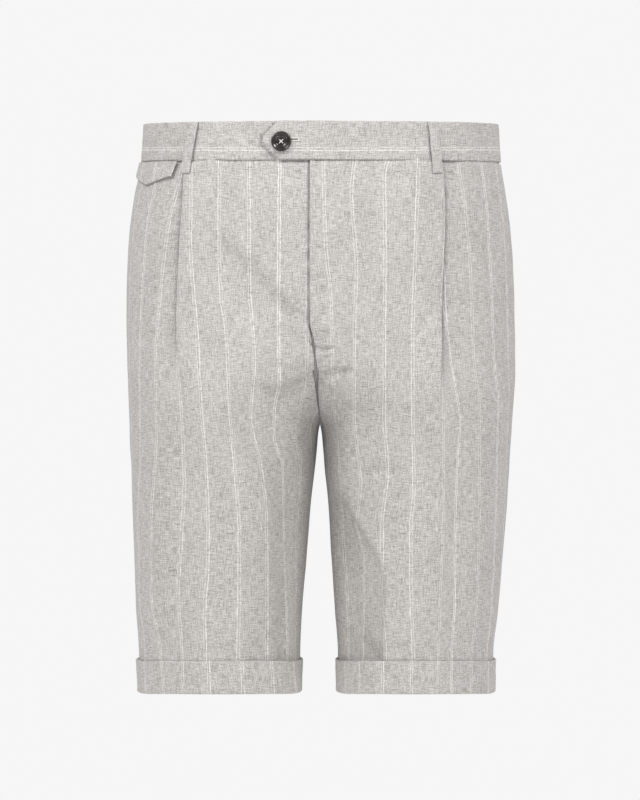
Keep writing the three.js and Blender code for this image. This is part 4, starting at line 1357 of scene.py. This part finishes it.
# (radius, height) from the middle of the back, round the rim and over the dish to the middle
BUTTON_PROFILE = [
    (0, 0), (6.6, 0), (7.6, 0.25), (8.4, 0.8), (8.85, 1.4), (9.0, 1.9), (8.92, 2.35), (8.72, 2.7),
    (8.42, 2.93), (8.1, 3.0), (7.8, 2.95), (7.45, 2.8), (7.05, 2.56), (6.65, 2.32), (6.35, 2.16),
    (6.15, 1.9), (5.95, 1.82), (5.75, 1.95), (5.5, 2.1), (5.2, 2.12), (4.85, 1.98), (4.4, 1.73),
    (3.95, 1.48), (3.5, 1.33), (3.0, 1.28), (0, 1.28),
]


def tab_face(x, z, out):
    """A place on the tab's face and the direction out of it."""
    way = way_at_x(LEFT, z, x)
    base = place(LEFT, z, way, tab_lift(x) + out)
    return base, place(LEFT, z, way, tab_lift(x) + out + 1) - base


def turned(name, profile, steps):
    """A closed surface of revolution round Z, in mm."""
    points = [(0, 0, profile[0][1])]
    rings = profile[1:-1]
    for radius, height in rings:
        angles = [2 * math.pi * i / steps for i in range(steps)]
        points += [(radius * math.cos(a), radius * math.sin(a), height) for a in angles]
    points.append((0, 0, profile[-1][1]))
    faces = [(0, 1 + (i + 1) % steps, 1 + i) for i in range(steps)]
    for r in range(len(rings) - 1):
        a, b = 1 + r * steps, 1 + (r + 1) * steps
        faces += [(a + i, a + (i + 1) % steps, b + (i + 1) % steps, b + i) for i in range(steps)]
    last, start = len(points) - 1, 1 + (len(rings) - 1) * steps
    faces += [(last, start + i, start + (i + 1) % steps) for i in range(steps)]
    return add_piece(name, points, faces)


def drill(piece, places, radius):
    """Cuts round holes through a piece along Z."""
    cutters = []
    for i, (x, y) in enumerate(places):
        cutter = turned(f"drill_{i}", [(0, -2), (radius, -2), (radius, 6), (0, 6)], 28)
        cutter.location = (x / 1000, y / 1000, 0)
        modifier = piece.modifiers.new(f"hole_{i}", "BOOLEAN")
        modifier.operation = "DIFFERENCE"
        modifier.solver = "EXACT"
        modifier.object = cutter
        cutters.append(cutter)
    bpy.context.view_layer.update()
    shown = piece.evaluated_get(bpy.context.evaluated_depsgraph_get())
    done = bpy.data.meshes.new_from_object(shown)
    piece.modifiers.clear()
    piece.data = done
    for cutter in cutters:
        bpy.data.objects.remove(cutter)


def set_on_tab(piece, x, z, out):
    """Moves a piece made round its own Z so that it sits on the tab, facing out."""
    seat, outward = tab_face(x, z, out)
    turn = Vector(outward).to_track_quat("Z", "Y").to_matrix().to_4x4()
    turn.translation = Vector(seat) / 1000
    piece.data.transform(turn)


button = turned("waist_button_horn", BUTTON_PROFILE, 96)
drill(button, [(x * HOLES_APART, y * HOLES_APART) for x in (-1, 1) for y in (-1, 1)], BUTTON_HOLE)
button.data.materials.clear()
button.data.materials.append(horn)
button.data.polygons.foreach_set("use_smooth", np.ones(len(button.data.polygons), dtype=bool))
button.data.set_sharp_from_angle(angle=math.radians(38))
set_on_tab(button, *BUTTON_AT, SEAM_GAP)
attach(button, BODY)
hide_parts("waist_button")
print("button faces", len(button.data.polygons))


# %% Thread through the button, and the buttonhole
BAR_THREAD, HOLE_THREAD = 0.2, 0.27  # radii
HOLE_FROM, HOLE_TO, HOLE_Z, HOLE_OUT = -29.5, -19.0, 0.4, 0.05
HOLE_HALF_WIDTH = 0.6
STITCHES, END_STITCHES = 26, 7
STITCH_REACH = (0.0, 0.15, 0.5, 0.95, 1.2)  # where a stitch is bent, from the slit outwards


def thread_tube(path, radius, sides=7):
    """Vertices and faces of a closed tube along a path of (x, y, z) in mm."""
    path = [Vector(p) for p in path]
    points, faces = [], []
    for i, p in enumerate(path):
        ahead = (path[min(i + 1, len(path) - 1)] - path[max(i - 1, 0)]).normalized()
        across = ahead.cross(Vector((0, 0, 1)))
        across = across.normalized() if across.length > 0.1 else ahead.cross(Vector((1, 0, 0))).normalized()
        up = across.cross(ahead)
        for k in range(sides):
            a = 2 * math.pi * k / sides
            points.append(p + radius * (math.cos(a) * across + math.sin(a) * up))
    for i in range(len(path) - 1):
        a, b = i * sides, (i + 1) * sides
        faces += [(a + k, a + (k + 1) % sides, b + (k + 1) % sides, b + k) for k in range(sides)]
    faces.append(tuple(range(sides))[::-1])
    faces.append(tuple((len(path) - 1) * sides + k for k in range(sides)))
    return points, faces


def join_tubes(name, tubes, material):
    """One mesh object from several tubes."""
    points, faces = [], []
    for more_points, more_faces in tubes:
        faces += [tuple(i + len(points) for i in face) for face in more_faces]
        points += more_points
    return add_piece(name, points, faces, material)


BAR_HEIGHT, BAR_DIVE = 1.55, 9.6  # the bars lie at this height, and dive this steeply into the holes
BAR_STACK = (0.22, 0.05)  # how much higher the upper bar and the lower one lie


def button_thread():
    """Two crossed bars of three strands each, from hole to hole, diving into the holes."""
    tubes = []
    for turn in (1, -1):
        for strand in (-0.3, 0, 0.3):
            across = np.array([turn * strand * 0.7, -strand * 0.7, 0])
            ends = np.array([[-HOLES_APART, -turn * HOLES_APART, 0], [HOLES_APART, turn * HOLES_APART, 0]])
            path = []
            for t in np.linspace(-0.12, 1.12, 11):
                height = BAR_HEIGHT + BAR_STACK[turn < 0] - BAR_DIVE * max(0, abs(t - 0.5) - 0.42)
                path.append(ends[0] + (ends[1] - ends[0]) * t + across + np.array([0, 0, height]))
            tubes.append(thread_tube(path, BAR_THREAD))
    piece = join_tubes("button_thread", tubes, grey_thread)
    set_on_tab(piece, *BUTTON_AT, SEAM_GAP)
    return piece


def buttonhole():
    """Close stitches across a slit, from under the button towards the middle, and the slit's painted shade.
    """
    tubes = []
    x_middle, half_length = (HOLE_FROM + HOLE_TO) / 2, (HOLE_TO - HOLE_FROM) / 2
    for i in range(STITCHES):
        x = -half_length + 2 * half_length * i / (STITCHES - 1)
        for side in (-1, 1):
            jitter = 0.12 * noise.noise(Vector((i * 1.7, side, 0)))
            heights = (0.0, 0.34, 0.45, 0.36 + jitter, 0.0)
            path = [(x, side * (HOLE_HALF_WIDTH + d), h) for d, h in zip(STITCH_REACH, heights)]
            tubes.append(thread_tube(path, HOLE_THREAD, 6))
    for i in range(END_STITCHES):
        z = -1.5 + 0.5 * i
        path = [(half_length + d, z, h) for d, h in ((-0.5, 0.1), (0, 0.45), (0.7, 0.45), (1.1, 0.0))]
        tubes.append(thread_tube(path, HOLE_THREAD, 6))
    # a dark tube along the slit: painted shade, where the slit's depth would be dark
    middle_line = [(x, 0.0, 0.02) for x in np.linspace(-half_length, half_length - 0.4, 8)]
    slit = join_tubes("buttonhole_slit_painted_shade", [thread_tube(middle_line, 0.34)], slit_painted_shade)
    stitches = join_tubes("buttonhole_stitches", tubes, grey_thread)
    for piece in (slit, stitches):
        set_on_tab(piece, x_middle, HOLE_Z, HOLE_OUT)
    return stitches, slit


for thread_piece in (button_thread(), *buttonhole()):
    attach(thread_piece, BODY)
print(STITCHES * 2 + END_STITCHES, "stitches round the buttonhole")

# %% [markdown]
# ## Finish
#
# The last cell measures the dressed model against the frame's box and prints how much it has grown.

# %% Sizes
DRESSED_BOX = [list(corner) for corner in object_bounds()]
growth = np.array(DRESSED_BOX) - np.array(CAD_BOX)
print("growth in mm", (growth * 1000).round(1).tolist())
